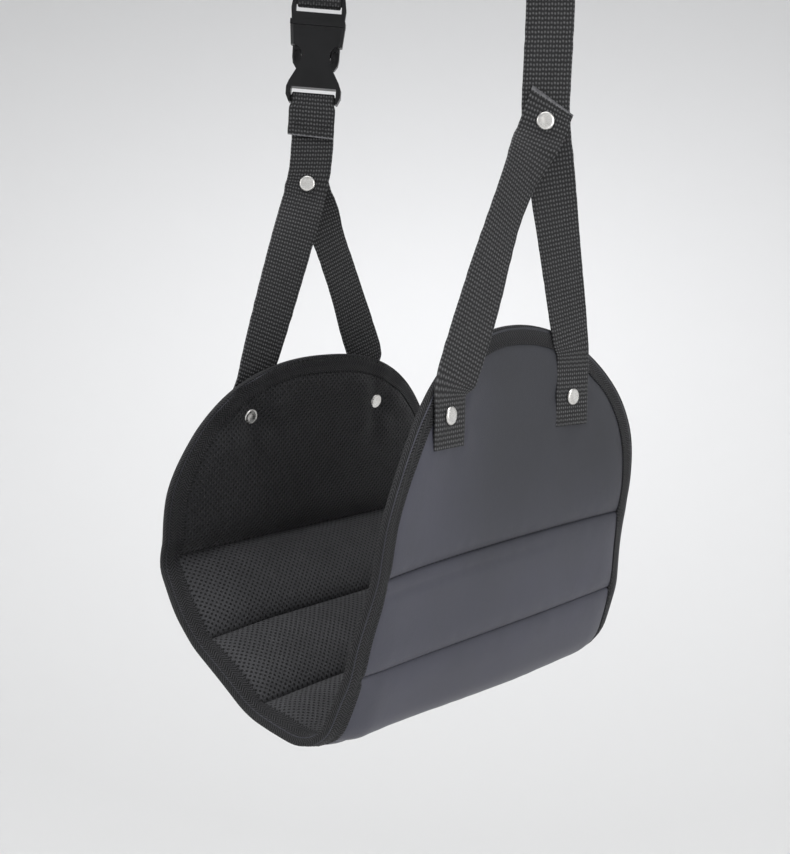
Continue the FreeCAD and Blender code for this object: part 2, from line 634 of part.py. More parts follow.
def loop_layer(offset):
    """One webbing layer from the slider's run over both top bends to the far run."""
    stations = [(near_line(z) + RUN * offset, RUN_ACROSS, RUN) for z in (PASS_TOP_Z, BEND_Z)]
    for line, first in ((near_line, 0.0), (far_line, math.pi / 2)):
        inwards = RUN * (-1.0 if line is near_line else 1.0)
        centre = line(BEND_Z) + inwards * BEND_RADIUS
        for step in range(BEND_STEPS + 1):
            angle = first + math.pi / 2 * step / BEND_STEPS
            out = RUN * math.cos(angle) + V(0, 0, math.sin(angle))
            if line is near_line and step == 0:
                continue
            stations.append((centre + out * (BEND_RADIUS + offset), RUN_ACROSS, out))
    return ribbon(stations)


# ---- build and write -------------------------------------------------------------------
def build():
    os.makedirs("parts", exist_ok=True)
    panel_posts, panel_backs, panel_holes = panel_rivets()
    apex_posts, apex_backs, apex_holes = apex_rivets()
    punches = Part.makeCompound(panel_holes + apex_holes)

    nodes = foam_pads()
    nodes["outer_shell"] = slab(SHELL_IN, SHELL_OUT, SHELL_INSET)
    nodes["mesh_lining"] = slab(-SHELL_OUT, -SHELL_IN, SHELL_INSET)
    nodes["quilting_seams"] = quilting_seams()
    nodes["edge_binding"] = edge_binding()
    nodes["near_front_leg"] = short_leg(True, -1)
    nodes["near_rear_leg"] = strap_leg(True, 1)
    nodes["far_front_leg"] = strap_leg(False, -1)
    nodes["far_rear_leg"] = short_leg(False, 1)
    for name in list(nodes):
        if name != "quilting_seams":
            nodes[name] = nodes[name].cut(punches)

    nodes["panel_rivet_posts"] = Part.makeCompound(panel_posts)
    nodes["panel_rivet_backs"] = Part.makeCompound(panel_backs)
    nodes["apex_rivet_posts"] = Part.makeCompound(apex_posts)
    nodes["apex_rivet_backs"] = Part.makeCompound(apex_backs)
    nodes["near_strap_bend"] = rocking_stretch(True)
    nodes["far_strap_bend"] = rocking_stretch(False)
    nodes["near_strap"] = near_strap()
    nodes["buckle_strap"] = buckle_strap()
    nodes["buckle_socket"] = place_buckle(buckle_socket())
    nodes["buckle_plug"] = place_buckle(buckle_plug())
    nodes["prong_left"] = place_buckle(prong(-1))
    nodes["prong_right"] = place_buckle(prong(1))
    nodes["plug_web_turn"] = plug_web_turn()
    nodes["far_run"] = far_run()
    nodes["strap_slider"] = strap_slider()
    nodes["slider_web_loop"] = slider_web_loop()
    nodes["slider_pass"] = slider_pass()
    nodes["loop_outer_layer"] = loop_layer(LAYER)
    nodes["loop_inner_layer"] = loop_layer(-LAYER)
    for name, shape in nodes.items():
        export_node(shape, name)


build()
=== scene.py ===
import math

import bpy
import numpy as np
from mathutils import Matrix, Vector, noise


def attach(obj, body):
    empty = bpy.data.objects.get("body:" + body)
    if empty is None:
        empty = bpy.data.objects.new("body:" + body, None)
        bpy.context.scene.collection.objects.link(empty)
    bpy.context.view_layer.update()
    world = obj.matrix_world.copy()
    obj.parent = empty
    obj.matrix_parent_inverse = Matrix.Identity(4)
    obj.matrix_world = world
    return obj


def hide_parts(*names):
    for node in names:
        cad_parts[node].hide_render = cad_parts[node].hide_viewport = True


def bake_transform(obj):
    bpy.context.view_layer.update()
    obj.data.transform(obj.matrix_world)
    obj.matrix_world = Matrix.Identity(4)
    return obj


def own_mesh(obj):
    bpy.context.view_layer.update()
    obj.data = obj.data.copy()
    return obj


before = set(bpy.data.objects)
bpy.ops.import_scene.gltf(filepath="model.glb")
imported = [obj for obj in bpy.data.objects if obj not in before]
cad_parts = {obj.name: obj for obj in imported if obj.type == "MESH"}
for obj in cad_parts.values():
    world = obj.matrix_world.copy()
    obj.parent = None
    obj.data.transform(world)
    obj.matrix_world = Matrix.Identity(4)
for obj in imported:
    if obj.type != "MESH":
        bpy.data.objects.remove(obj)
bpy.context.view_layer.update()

# Everything below is laid out in the sling's own frame, in millimetres: Z = 0 is the pad's
# lowest line, X runs across the U and Y along it. to_row() turns that into the row frame.
HANG_POINT = np.array([6.55, 12.34, 492.45])

# ---- driving dimensions ----
NEAR, FAR = True, False     # keys of what differs between the two sides of the U
FRONT, REAR = -1, 1         # the two directions along it
LEGS = [(NEAR, FRONT), (NEAR, REAR), (FAR, FRONT), (FAR, REAR)]

HALF_DEPTH = 118.0          # half of the pad's width, along Y
# the middle surface: straight runs between the two top edges and the six seams, as (X, Z)
PROFILE = [(-77.0, 187.0), (-81.5, 81.0), (-48.0, 42.5), (-8.0, 14.0),
           (41.5, 4.5), (62.0, 46.5), (69.0, 95.0), (70.5, 209.0)]
SEAM_RADII = [18.0, 45.0, 45.0, 26.0, 45.0, 60.0]
# each round end of the pad: its height, half width and power (2 is an ellipse)
END = {NEAR: (105.0, 112.0, 2.0), FAR: (98.5, 113.0, 2.3)}
PAD_NAMES = ["pad_far_upper", "pad_far_middle", "pad_far_lower", "pad_bottom",
             "pad_near_lower", "pad_near_middle", "pad_near_upper"]
EDGE_HALF = 2.2             # half thickness of the pad where the binding grips it
SEAM_HALF = 0.4             # half thickness at a row of stitches
FLARE = 6.0                 # how far the pad's front and rear edges curl outwards below
SAG = 8.5                   # how far the near lower bend hangs outwards
SAG_SPREAD = 34.0           # and over what length of the U
PANEL_CURVE = 500.0         # radius to which the legs pull the near panel, seen from above
FAR_TIP = 8.0               # how far the far panel's top tips inwards
FAR_TIP_LOW = 148.0         # and from what height
FAR_CORNER = 6.5            # how far its front top corner is pulled in
FRONT_OUT = 4.2             # how far the near panel's front edge is drawn outwards
END_SHIFT = 6.0             # how far the near panel's round end sits towards the rear
TAPE_WIDTH = 9.5
TAPE = 0.8

WEBBING = 25.0
WEB = 1.5
FIT = 0.15                  # clearance between two layers of webbing, or round a bar
LAYER = 0.8                 # offset of each of two stacked layers from their middle
LEG_OFFSET = 5.5            # middle of a leg, outside the pad's middle surface
LEG_SPREAD = 53.8
LEG_SHIFT = -4.0
NEAR_FRONT_NUDGE = 3.0      # the near front rivet sits this much further forwards
LEG_TAIL = 16.0
LEG_TIP = {NEAR: 11.0, FAR: 6.5}    # webbing above each apex rivet
FLAT_AT_APEX = 7.0          # and how far below it a leg already lies flat
NEAR_TURN = -5.0            # how far the near legs turn towards the front on their panel
RIVET_Z = {NEAR: 169.0, FAR: 155.0}
APEX = {NEAR: np.array([76.4, 17.2, 314.7]), FAR: np.array([-77.6, -5.4, 289.4])}
LEAN = {NEAR: 0.032, FAR: 0.079}    # sideways drift of each strap for each mm of height
FACING = 42.0               # azimuth that the webbing faces at the apexes and the buckle
SLIDER_FACING = 72.0
CAP_RADIUS = 4.75

SLOT_CENTRE_Z = 342.0       # buckle
SLOT_HALF = 2.1
SOCKET_BAR_HALF = 1.6
PLUG_SLOT = 47.0
PLUG_BAR_HALF = 1.3
FLAP_LENGTH = 22.0
FLAP_SPREAD = 1.1           # how much wider the pressed flap is on each side
SLIDER_Z = 419.0
PASS_LOW_Z = 397.0          # ends of the stretch of strap that the slider runs on
PASS_TOP_Z = 458.0
BEHIND = -3.5               # how far that stretch lies behind the slider's middle surface
TAIL_BEHIND = BEHIND - 1.7  # and the returning end behind it
BEND_Z = 470.0
BEND_RADIUS = 24.0


# ---- small helpers ----
def vec(*values):
    return np.array(values, float)


def unit(vector):
    return vector / np.linalg.norm(vector)


def units(vectors):
    return vectors / np.linalg.norm(vectors, axis=1)[:, None]


def to_row(points):
    """Sling-frame millimetres to row-frame metres."""
    return (np.asarray(points, float) - HANG_POINT) / 1000.0


def smooth(value, low, high):
    """Smooth step from 0 to 1 as value goes from low to high."""
    part = np.clip((value - low) / (high - low), 0.0, 1.0)
    return part * part * (3 - 2 * part)


def facing(azimuth):
    """Level direction that webbing faces at an azimuth in degrees."""
    turn = math.radians(azimuth)
    return vec(math.sin(turn), -math.cos(turn), 0)


def along_width(azimuth):
    """Level direction across webbing that faces the azimuth."""
    turn = math.radians(azimuth)
    return vec(math.cos(turn), math.sin(turn), 0)


ACROSS = along_width(FACING)
TOWARDS = facing(FACING)
UP = vec(0, 0, 1)


def strap_line(near, z):
    """Middle of the near or the far strap at height z."""
    rise = z - APEX[near][2]
    return APEX[near] + ACROSS * (LEAN[near] * rise) + UP * rise


LEAN_UP = unit(UP + ACROSS * LEAN[FAR])
LEAN_ACROSS = -np.cross(TOWARDS, LEAN_UP)


def make_mesh(name, points, faces, uvs=None, material=None, second=None, second_faces=()):
    """Mesh object from sling-frame points; uvs are metres along and across the cloth."""
    mesh = bpy.data.meshes.new(name)
    mesh.from_pydata(to_row(points).tolist(), [], faces)
    if uvs is not None:
        layer = mesh.uv_layers.new(name="cloth")
        loops = np.zeros(len(mesh.loops), int)
        mesh.loops.foreach_get("vertex_index", loops)
        layer.data.foreach_set("uv", (np.asarray(uvs, float)[loops] / 1000.0).ravel())
    mesh.polygons.foreach_set("use_smooth", [True] * len(mesh.polygons))
    for item in (material, second):
        if item is not None:
            mesh.materials.append(item)
    if len(second_faces):
        index = np.zeros(len(mesh.polygons), int)
        index[list(second_faces)] = 1
        mesh.polygons.foreach_set("material_index", index)
    mesh.update()
    thing = bpy.data.objects.new(name, mesh)
    bpy.context.collection.objects.link(thing)
    return thing


def grid_faces(rows, columns, first=0, flip=False, close_rows=False, close_columns=False):
    """Quads of a rows x columns grid of points, wrapped round where asked."""
    faces = []
    for i in range(rows if close_rows else rows - 1):
        for j in range(columns if close_columns else columns - 1):
            k, m = (i + 1) % rows, (j + 1) % columns
            quad = [first + i * columns + j, first + k * columns + j,
                    first + k * columns + m, first + i * columns + m]
            faces.append(quad[::-1] if flip else quad)
    return faces


# ---- materials ----
class Shader:
    """A material with a principled shader and short calls to wire maths into it."""

    def __init__(self, name):
        self.material = bpy.data.materials.new(name)
        self.material.use_nodes = True
        self.tree = self.material.node_tree
        self.base = self.tree.nodes["Principled BSDF"]

    def feed(self, socket, value):
        """Link another node's output to an input, or set its value."""
        if isinstance(value, bpy.types.NodeSocket):
            self.tree.links.new(value, socket)
        else:
            socket.default_value = (*value, 1) if socket.type == "RGBA" else value

    def node(self, kind, inputs, **settings):
        made = self.tree.nodes.new(kind)
        for key, value in settings.items():
            setattr(made, key, value)
        for key, value in inputs.items():
            self.feed(made.inputs[key], value)
        return made

    def maths(self, operation, *values):
        return self.node("ShaderNodeMath", dict(enumerate(values)), operation=operation).outputs[0]

    def times(self, value, factor, plus=0.0):
        return self.maths("MULTIPLY_ADD", value, factor, plus)

    def wave(self, value, pitch):
        """Sine with a period of pitch."""
        return self.maths("SINE", self.times(value, 2 * math.pi / pitch))

    def hump(self, value):
        """Half a sine over each whole step of value."""
        return self.maths("SINE", self.times(self.maths("FRACT", value), math.pi))

    def cloth(self):
        """Metres across and along the cloth."""
        uvs = self.node("ShaderNodeUVMap", {}, uv_map="cloth").outputs[0]
        return self.node("ShaderNodeSeparateXYZ", {0: uvs}).outputs[:2]

    def spot(self):
        """Place in the object's own metres."""
        return self.node("ShaderNodeTexCoord", {}).outputs["Object"]

    def noise(self, scale, detail=3.0, roughness=0.5, stretch=(1, 1, 1)):
        where = self.node("ShaderNodeMapping", {0: self.spot(), "Scale": stretch}).outputs[0]
        return self.node("ShaderNodeTexNoise", {"Vector": where, "Scale": scale, "Detail": detail,
                                                "Roughness": roughness}).outputs["Fac"]

    def ramp(self, factor, low, high, first, second):
        """Colour from first to second as factor goes from low to high."""
        made = self.node("ShaderNodeValToRGB", {0: factor})
        for stop, at, colour in zip(made.color_ramp.elements, (low, high), (first, second)):
            stop.position, stop.color = at, (*colour, 1)
        return made.outputs[0]

    def step(self, value, low, high):
        """Smooth step from 0 to 1 as value goes from low to high."""
        return self.node("ShaderNodeMapRange", {"Value": value, "From Min": low, "From Max": high},
                         interpolation_type="SMOOTHSTEP").outputs[0]

    def mix(self, factor, first, second, mode="MIX"):
        return self.node("ShaderNodeMix", {0: factor, 6: first, 7: second},
                         data_type="RGBA", blend_type=mode).outputs[2]

    def bump(self, height, distance, strength=1.0, over=None):
        made = self.node("ShaderNodeBump", {"Strength": strength, "Distance": distance, "Height": height})
        if over is not None:
            self.feed(made.inputs["Normal"], over)
        return made.outputs[0]

    def finish(self, colour, roughness, normal=None, **extra):
        inputs = {"Base Color": colour, "Roughness": roughness, **extra}
        if normal is not None:
            inputs["Normal"] = normal
        for name, value in inputs.items():
            self.feed(self.base.inputs[name.replace("_", " ")], value)
        return self.material


def shell_fabric():
    """Charcoal slate nylon: fine plain weave, soft mottling and a slight sheen."""
    s = Shader("shell_fabric")
    across, along = s.cloth()
    weave = s.times(s.wave(across, 0.0006), s.wave(along, 0.0006))
    mottle = s.noise(38.0, 4.0, 0.6)
    tone = s.mix(0.35, s.ramp(mottle, 0.3, 0.7, (0.043, 0.044, 0.056), (0.057, 0.058, 0.075)),
                 s.ramp(s.noise(9.0, 2.0), 0.3, 0.7, (0.041, 0.042, 0.053), (0.060, 0.061, 0.080)))
    # painted shade: the cloth is made darker and less blue high up and to the rear of the near panel, where
    # less light falls
    high = s.step(along, SEAMS[4] / 1000, (SEAMS[5] + 55) / 1000)
    rear = s.step(across, -0.085, -0.01)
    painted_shade = s.mix(s.times(high, rear), (1.03, 1.02, 1.07), (0.56, 0.57, 0.56))
    tone = s.mix(1.0, tone, painted_shade, "MULTIPLY")
    normal = s.bump(weave, 0.00004, 0.5)
    normal = s.bump(s.noise(160.0, 4.0, 0.6), 0.0005, 0.25, normal)
    normal = s.bump(s.noise(900.0, 2.0, 0.6), 0.00012, 0.4, normal)
    roughness = s.times(mottle, 0.16, 0.44)
    return s.finish(tone, roughness, normal, Sheen_Weight=0.06, Sheen_Roughness=0.4,
                    Specular_IOR_Level=0.45)


def mesh_fabric():
    """Dark air mesh with staggered oval holes."""
    s = Shader("mesh_fabric")
    across, along = s.cloth()
    pitch, rise = 0.0036, 0.0034
    distances = []
    for shift in (0.0, 0.5):
        squares = []
        for run, size in ((across, pitch), (along, rise)):
            cell = s.maths("FRACT", s.times(run, 1 / size, shift))
            squares.append(s.maths("POWER", s.maths("SUBTRACT", cell, 0.5), 2.0))
        distances.append(s.maths("SQRT", s.maths("ADD", *squares)))
    solid = s.step(s.maths("MINIMUM", *distances), 0.12, 0.27)
    rib = s.wave(s.maths("ADD", across, along), 0.0011)
    height = s.times(rib, 0.10, solid)
    yarn = s.ramp(s.noise(30.0, 3.0, 0.6), 0.3, 0.7, (0.032, 0.032, 0.035), (0.052, 0.052, 0.056))
    colour = s.mix(solid, (0.003, 0.003, 0.0035), yarn)
    # painted shade: the far upper panel's lining, which sits in shade, is darkened against the channels below
    # it
    far_lining_shade = s.ramp(along, (SEAMS[0] - 4) / 1000, (SEAMS[0] + 1) / 1000,
                     (0.36, 0.36, 0.38), (1.0, 1.0, 1.0))
    colour = s.mix(1.0, colour, far_lining_shade, "MULTIPLY")
    return s.finish(colour, 0.72, s.bump(height, 0.0008, 1.0), Sheen_Weight=0.08,
                    Sheen_Roughness=0.45, Specular_IOR_Level=0.35)


def binding_tape():
    """Near-black herringbone twill tape."""
    s = Shader("binding_tape")
    across, along = s.cloth()
    chevron = s.maths("PINGPONG", across, 0.00285)
    rib = s.wave(s.maths("ADD", chevron, along), 0.0017)
    height = s.times(s.wave(along, 0.0006), 0.15, rib)
    tone = s.mix(s.times(rib, 0.5, 0.5), (0.004, 0.004, 0.0045), (0.046, 0.046, 0.049))
    tone = s.mix(s.times(s.noise(60.0, 3.0, 0.6), 0.15), tone, (0.018, 0.018, 0.020))
    return s.finish(tone, 0.68, s.bump(height, 0.0003, 1.0), Sheen_Weight=0.02,
                    Sheen_Roughness=0.5, Specular_IOR_Level=0.25)


def webbing():
    """Coarse black webbing: staggered thick yarns with a lit dot on every crossing."""
    s = Shader("webbing")
    across, along = s.cloth()
    rib, pick = 0.0016, 0.0023
    columns = s.maths("DIVIDE", across, rib)
    odd = s.maths("MODULO", s.maths("ABSOLUTE", s.maths("FLOOR", columns)), 2.0)
    picks = s.maths("ADD", s.maths("DIVIDE", along, pick), s.times(odd, 0.10))
    dots = s.times(s.maths("POWER", s.hump(columns), 1.8), s.maths("POWER", s.hump(picks), 3.0))
    dots = s.times(dots, s.times(s.noise(420.0, 3.0, 0.7), 1.5, 0.25))
    height = s.times(s.noise(700.0, 2.0, 0.7), 0.25, dots)
    tone = s.mix(dots, (0.006, 0.006, 0.0065), (0.14, 0.14, 0.144))
    tone = s.mix(s.times(s.noise(55.0, 3.0, 0.6), 0.2), tone, (0.022, 0.022, 0.024))
    return s.finish(tone, 0.58, s.bump(height, 0.0005, 1.0), Sheen_Weight=0.02,
                    Sheen_Roughness=0.5, Specular_IOR_Level=0.32)


def sealed_end_highlight():
    """Heat-sealed cut end of the webbing: a slightly glazed rim, painted paler as a highlight where light
    catches the cut edge.
    """
    s = Shader("sealed_end_highlight")
    tone = s.ramp(s.noise(600.0, 3.0), 0.3, 0.7, (0.08, 0.08, 0.085), (0.19, 0.19, 0.20))
    return s.finish(tone, 0.45, s.bump(s.noise(900.0), 0.0003, 0.8))


def sewing_thread():
    s = Shader("thread")
    return s.finish(s.ramp(s.noise(900.0), 0.3, 0.7, (0.006, 0.006, 0.007), (0.014, 0.014, 0.016)),
                    0.6, s.bump(s.noise(1500.0), 0.0001, 0.5))


def nickel():
    """Bright nickel plate with faint rubbing and tiny dents."""
    s = Shader("nickel")
    roughness = s.times(s.noise(420.0, 4.0, 0.6, (1, 1, 4)), 0.16, 0.20)
    tone = s.ramp(s.noise(260.0), 0.35, 0.7, (0.74, 0.72, 0.69), (0.86, 0.85, 0.83))
    normal = s.bump(s.noise(240.0, 2.0), 0.00035, 0.35)
    return s.finish(tone, roughness, normal, Metallic=1.0)


def buckle_plastic():
    """Black moulded plastic with a fine satin grain."""
    s = Shader("buckle_plastic")
    wear = s.noise(45.0, 4.0, 0.65)
    tone = s.ramp(wear, 0.35, 0.75, (0.006, 0.006, 0.0065), (0.011, 0.011, 0.012))
    roughness = s.times(wear, 0.18, 0.30)
    return s.finish(tone, roughness, s.bump(s.noise(2600.0, 2.0, 0.6), 0.00006, 0.5),
                    Specular_IOR_Level=0.3)


# ---- the pad's middle surface ----
def profile_path():
    """The U as straight runs and seam arcs: (length so far, point, heading angle, radius)."""
    pieces, seams = [], []
    point, length = vec(*PROFILE[0]), 0.0
    for index in range(1, len(PROFILE) - 1):
        before, here, after = (vec(*PROFILE[index + step]) for step in (-1, 0, 1))
        into = math.atan2(*(here - before)[::-1])
        turn = math.atan2(*(after - here)[::-1]) - into
        radius = SEAM_RADII[index - 1]
        tangent = radius * math.tan(turn / 2)
        start = here - tangent * vec(math.cos(into), math.sin(into))
        run = np.linalg.norm(start - point)
        pieces.append((length, point, into, 0.0))
        length += run
        pieces.append((length, start, into, radius))
        seams.append(length + radius * turn / 2)
        length += radius * turn
        out = into + turn
        point = here + tangent * vec(math.cos(out), math.sin(out))
    pieces.append((length, point, out, 0.0))
    length += np.linalg.norm(vec(*PROFILE[-1]) - point)
    return pieces, seams, length


PIECES, SEAMS, PAD_LENGTH = profile_path()
STARTS = np.array([piece[0] for piece in PIECES])

SHELL, MESH, BINDING, STRAP = shell_fabric(), mesh_fabric(), binding_tape(), webbing()
THREAD, SEALED_HIGHLIGHT, NICKEL, PLASTIC = sewing_thread(), sealed_end_highlight(), nickel(), buckle_plastic()


def middle(along):
    """X, Z and heading of the middle surface at each length along the U."""
    along = np.asarray(along, float)
    which = np.clip(np.searchsorted(STARTS, along, side="right") - 1, 0, len(PIECES) - 1)
    x, z, heading = np.zeros_like(along), np.zeros_like(along), np.zeros_like(along)
    for index, (start, point, angle, radius) in enumerate(PIECES):
        here = which == index
        run = along[here] - start
        if radius:
            turned = angle + run / radius
            x[here] = point[0] + radius * (np.sin(turned) - math.sin(angle))
            z[here] = point[1] - radius * (np.cos(turned) - math.cos(angle))
            heading[here] = turned
        else:
            x[here] = point[0] + run * math.cos(angle)
            z[here] = point[1] + run * math.sin(angle)
            heading[here] = angle
    return x, z, heading


def place(along, y, height):
    """Sling-frame points at a height outside the middle surface, with the pad's sag."""
    along, y, height = np.broadcast_arrays(along, y, height)
    x, z, heading = middle(along)
    near, far_top = along > SEAMS[3], along < SEAMS[0]
    forwards = np.clip(-y, 0, None)
    dish = smooth(z, 62, 150) * (y * y - LEG_SPREAD ** 2) / (2 * PANEL_CURVE)
    drawn = FRONT_OUT * smooth(z, 35, 80) * (forwards / HALF_DEPTH) ** 4
    tip = FAR_TIP * (np.clip(z - FAR_TIP_LOW, 0, None) / (PROFILE[0][1] - FAR_TIP_LOW)) ** 1.5
    corner = FAR_CORNER * smooth(z, 112, 165) * (forwards / 100.0) ** 2
    push = np.where(near, dish + drawn, np.where(far_top, tip, 0.0))
    shift = np.where(near, centre_shift(z), np.where(far_top, corner, 0.0))
    # the sag is deepest towards the rear; the flare runs from the upper far seam to the bottom
    sag = np.exp(-((along - SEAMS[3] - 8) / SAG_SPREAD) ** 2) * SAG
    sag = sag * (0.45 * smooth(y, -HALF_DEPTH, -92) + 0.55 * smooth(y, -90, 50) - 0.15 * smooth(y, 90, 118))
    lower = smooth(along, SEAMS[0] - 10, SEAMS[0] + 8) * (1 - 0.8 * smooth(along, SEAMS[0] + 16, SEAMS[2]))
    lower = lower * (1 - smooth(along, SEAMS[3] - 34, SEAMS[3]))
    height = height + FLARE * lower * smooth(np.abs(y), 62, 116) + sag
    out_x, out_z = np.sin(heading), -np.cos(heading)
    return np.stack([x + push + out_x * height, y + shift, z + out_z * height], axis=-1)


def centre_shift(z):
    """How far the near panel's middle line is shifted to the rear at height z."""
    return END_SHIFT * smooth(z, 118, 172)


def along_at(near, z):
    """Length along the U at which an upper panel is at height z."""
    down = PROFILE[-1 if near else 0][1] - z
    return PAD_LENGTH - down if near else down


def end_shape(along):
    """Rise into a round end, the end's height, half width and power, at each length."""
    near = along > PAD_LENGTH / 2
    height, half, power = (np.where(near, *ends) for ends in zip(END[NEAR], END[FAR]))
    to_top = np.where(near, PAD_LENGTH - along, along)
    rise = np.clip(height - to_top, 0, height)
    full = half + (HALF_DEPTH - half) * smooth(to_top - height, 0, 45)
    return rise, height, full, power


def half_width(along):
    rise, height, half, power = end_shape(along)
    return half * np.clip(1 - (rise / height) ** power, 0, 1) ** (1 / power)


def edge_distance(along, y):
    """Distance in from the pad's outline, following the round ends."""
    rise, height, half, power = end_shape(along)
    across, upward = np.abs(y) / half + 1e-9, rise / height + 1e-9
    total = across ** power + upward ** power
    reach = total ** (1 / power)
    slope = np.hypot(across ** (power - 1) / half, upward ** (power - 1) / height)
    slope = slope * total ** (1 / power - 1) + 1e-9
    return np.clip((1 - reach) / slope, 0, None)


def noise_at(along, y, scale, seed):
    """Smooth bumps about scale millimetres wide, between -1 and 1."""
    flat = [noise.noise(Vector((a / scale, b / scale, seed))) for a, b in zip(along.ravel(), y.ravel())]
    return np.array(flat).reshape(along.shape)


def pillow(distance, reach, power):
    """Rounded rise from 0 at a seam to 1 at reach."""
    part = np.clip(distance / reach, 0, 1)
    return (1 - (1 - part) ** power) ** (1 / 1.6)


def leg_y(near, side):
    """Y of the rivet that holds a leg to its panel."""
    return LEG_SHIFT + side * LEG_SPREAD - (NEAR_FRONT_NUDGE if (near, side) == (NEAR, FRONT) else 0.0)


# the outer skin and the lining: height of a channel's crest, width of its slope, noise seed, depth
# of the puckers at a seam and of the folds round a rivet, and height where a rivet holds it
SKIN = {True: (5.0, 16.0, 3.0, 0.06, 0.45, 4.3), False: (7.2, 24.0, 8.0, 0.13, 0.8, 3.55)}


def skin_height(along, y, outside):
    """Height of the outer skin, or depth of the lining, from the middle surface."""
    along, y = np.broadcast_arrays(along, y)
    crest, slope, seed, pucker, fold_depth, held = SKIN[outside]
    seam = np.min([np.abs(along - s) for s in SEAMS], axis=0)
    edge = edge_distance(along, y)
    full = SEAM_HALF + (crest - SEAM_HALF) * pillow(seam, slope, 2.6)
    full = full + 0.55 * noise_at(along, y, 42.0, seed) * smooth(seam, 2, 14)
    if outside:
        # a second, softer crease under the near panel's upper seam, fading to the rear
        full = full - 0.9 * np.exp(-((along - SEAMS[5] + 7.5) / 1.7) ** 2) * (1 - smooth(y, -30, 70))
    inside = smooth(edge, 5.0, 11.0)
    soft = EDGE_HALF + (full - EDGE_HALF) * pillow(edge - 6.0, 20.0, 2.0)
    height = EDGE_HALF * (1 - inside) + np.minimum(full, soft) * inside
    ripple = np.sin(y / 3.3 + 6 * noise_at(along * 0.2, y, 30.0, seed + 1))
    height = height + pucker * ripple * inside * np.exp(-((seam - 5.0) / 4.0) ** 2)
    for near, side in LEGS:
        spot_y = leg_y(near, side)
        past, aside = along - along_at(near, RIVET_Z[near]), y - spot_y
        away, angle = np.hypot(past, aside), np.arctan2(aside, past)
        height = height + fold_depth * np.sin(angle * 5 + spot_y) * np.exp(-((away - 17) / 11) ** 2)
        height = height + (held - height) * np.exp(-(away / 10.5) ** 2)
        if outside:
            # the cloth is pressed flat under the leg above and just below its rivet
            strip = (1 - smooth(np.abs(aside), 11.0, 18.0)) * smooth(past if near else -past, -26, -14)
            height = np.minimum(height, 4.35 + (1 - strip) * 4.0)
    return np.clip(height, 0.3, None)


def on_skin(along, y, sign, lift=0.0):
    """Points at a height over the outer skin (sign 1) or over the lining (-1)."""
    return place(along, y, sign * (skin_height(along, y, sign > 0) + lift))


# ---- foam channels between shell and lining ----
def channel_rows(index):
    """Lengths along the U at which one channel has a row of points."""
    first = 0.0 if index == 0 else SEAMS[index - 1]
    last = PAD_LENGTH if index == len(SEAMS) else SEAMS[index]
    if index in (0, len(SEAMS)):
        # close together at the top of the round end, then evenly spaced down to the seam
        angles = np.radians(np.linspace(2.0, 90.0, 52))
        arch = END[FAR if index == 0 else NEAR][0] * (1 - np.sin(angles))[::-1] + 0.4
        plain = np.arange(arch[-1] + 2.0, last - first - 0.5, 1.6)
        rows = np.unique(np.round(np.concatenate([arch, plain, last - first - np.array([0.5, 0.0])]), 4))
        return rows if index == 0 else PAD_LENGTH - rows[::-1]
    inside = np.linspace(first, last, 34)
    return np.unique(np.concatenate([inside, [first + 0.5, last - 0.5]]))


def quilted_channel(index):
    """One padded channel: shell fabric outside, mesh lining inside, pinched at its seams."""
    rows = channel_rows(index)
    across = np.linspace(-1, 1, 119)
    along = np.repeat(rows[:, None], len(across), axis=1)
    y = across[None, :] * np.clip(half_width(rows)[:, None] - 1.0, 0.6, None)
    count = along.size
    points = np.concatenate([on_skin(along, y, sign).reshape(-1, 3) for sign in (1, -1)])
    uvs = np.tile(np.stack([y, along], axis=-1).reshape(-1, 2), (2, 1))
    n, m = along.shape
    faces = grid_faces(n, m, 0)
    lining = grid_faces(n, m, count, flip=True)
    second = range(len(faces), len(faces) + len(lining))
    rim = (list(range(m)) + [i * m + m - 1 for i in range(1, n)]
           + [(n - 1) * m + j for j in range(m - 2, -1, -1)] + [i * m for i in range(n - 2, 0, -1)])
    sides = [[a, b, b + count, a + count] for a, b in zip(rim, rim[1:] + rim[:1])]
    thing = make_mesh(PAD_NAMES[index].replace("pad", "quilted"), points, faces + lining + sides,
                      uvs, SHELL, MESH, second)
    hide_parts(PAD_NAMES[index])
    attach(thing, "sling")
    return thing


pads = [quilted_channel(index) for index in range(len(PAD_NAMES))]
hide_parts("outer_shell", "mesh_lining")


# ---- edge binding and stitches ----
def outline():
    """Closed outline of the pad laid flat: (length along the U, Y), going round once."""
    far_spring, near_spring = END[FAR][0], PAD_LENGTH - END[NEAR][0]
    turns = np.linspace(0, math.pi, 110)[:-1]
    straight = np.arange(far_spring, near_spring, 2.6)
    widths = half_width(straight)

    def arch(end, spring, sign):
        height, half, power = end
        found = []
        for t in turns:
            sideways = math.copysign(abs(math.cos(t)) ** (2 / power), math.cos(t))
            found.append((spring + sign * height * math.sin(t) ** (2 / power), -sign * half * sideways))
        return found

    front = [(a, -w) for a, w in zip(straight, widths)]
    back = [(a, w) for a, w in zip(straight[::-1], widths[::-1])]
    points = np.array(arch(END[FAR], far_spring, -1) + front + arch(END[NEAR], near_spring, 1) + back)
    keep = np.linalg.norm(points - np.roll(points, 1, axis=0), axis=1) > 0.5
    return points[keep]


def along_edge():
    """The outline, its inward directions, the length so far at each point and the whole length."""
    edge = outline()
    tangents = units(np.roll(edge, -1, axis=0) - np.roll(edge, 1, axis=0))
    inward = np.stack([-tangents[:, 1], tangents[:, 0]], axis=1)
    if np.mean(np.sum(inward * (vec(PAD_LENGTH / 2, 0.0) - edge), axis=1)) < 0:
        inward = -inward
    steps = np.linalg.norm(np.roll(edge, -1, axis=0) - edge, axis=1)
    return edge, inward, np.concatenate([[0], np.cumsum(steps)[:-1]]), steps.sum()


EDGE, INWARD, RUN_LENGTH, EDGE_LENGTH = along_edge()


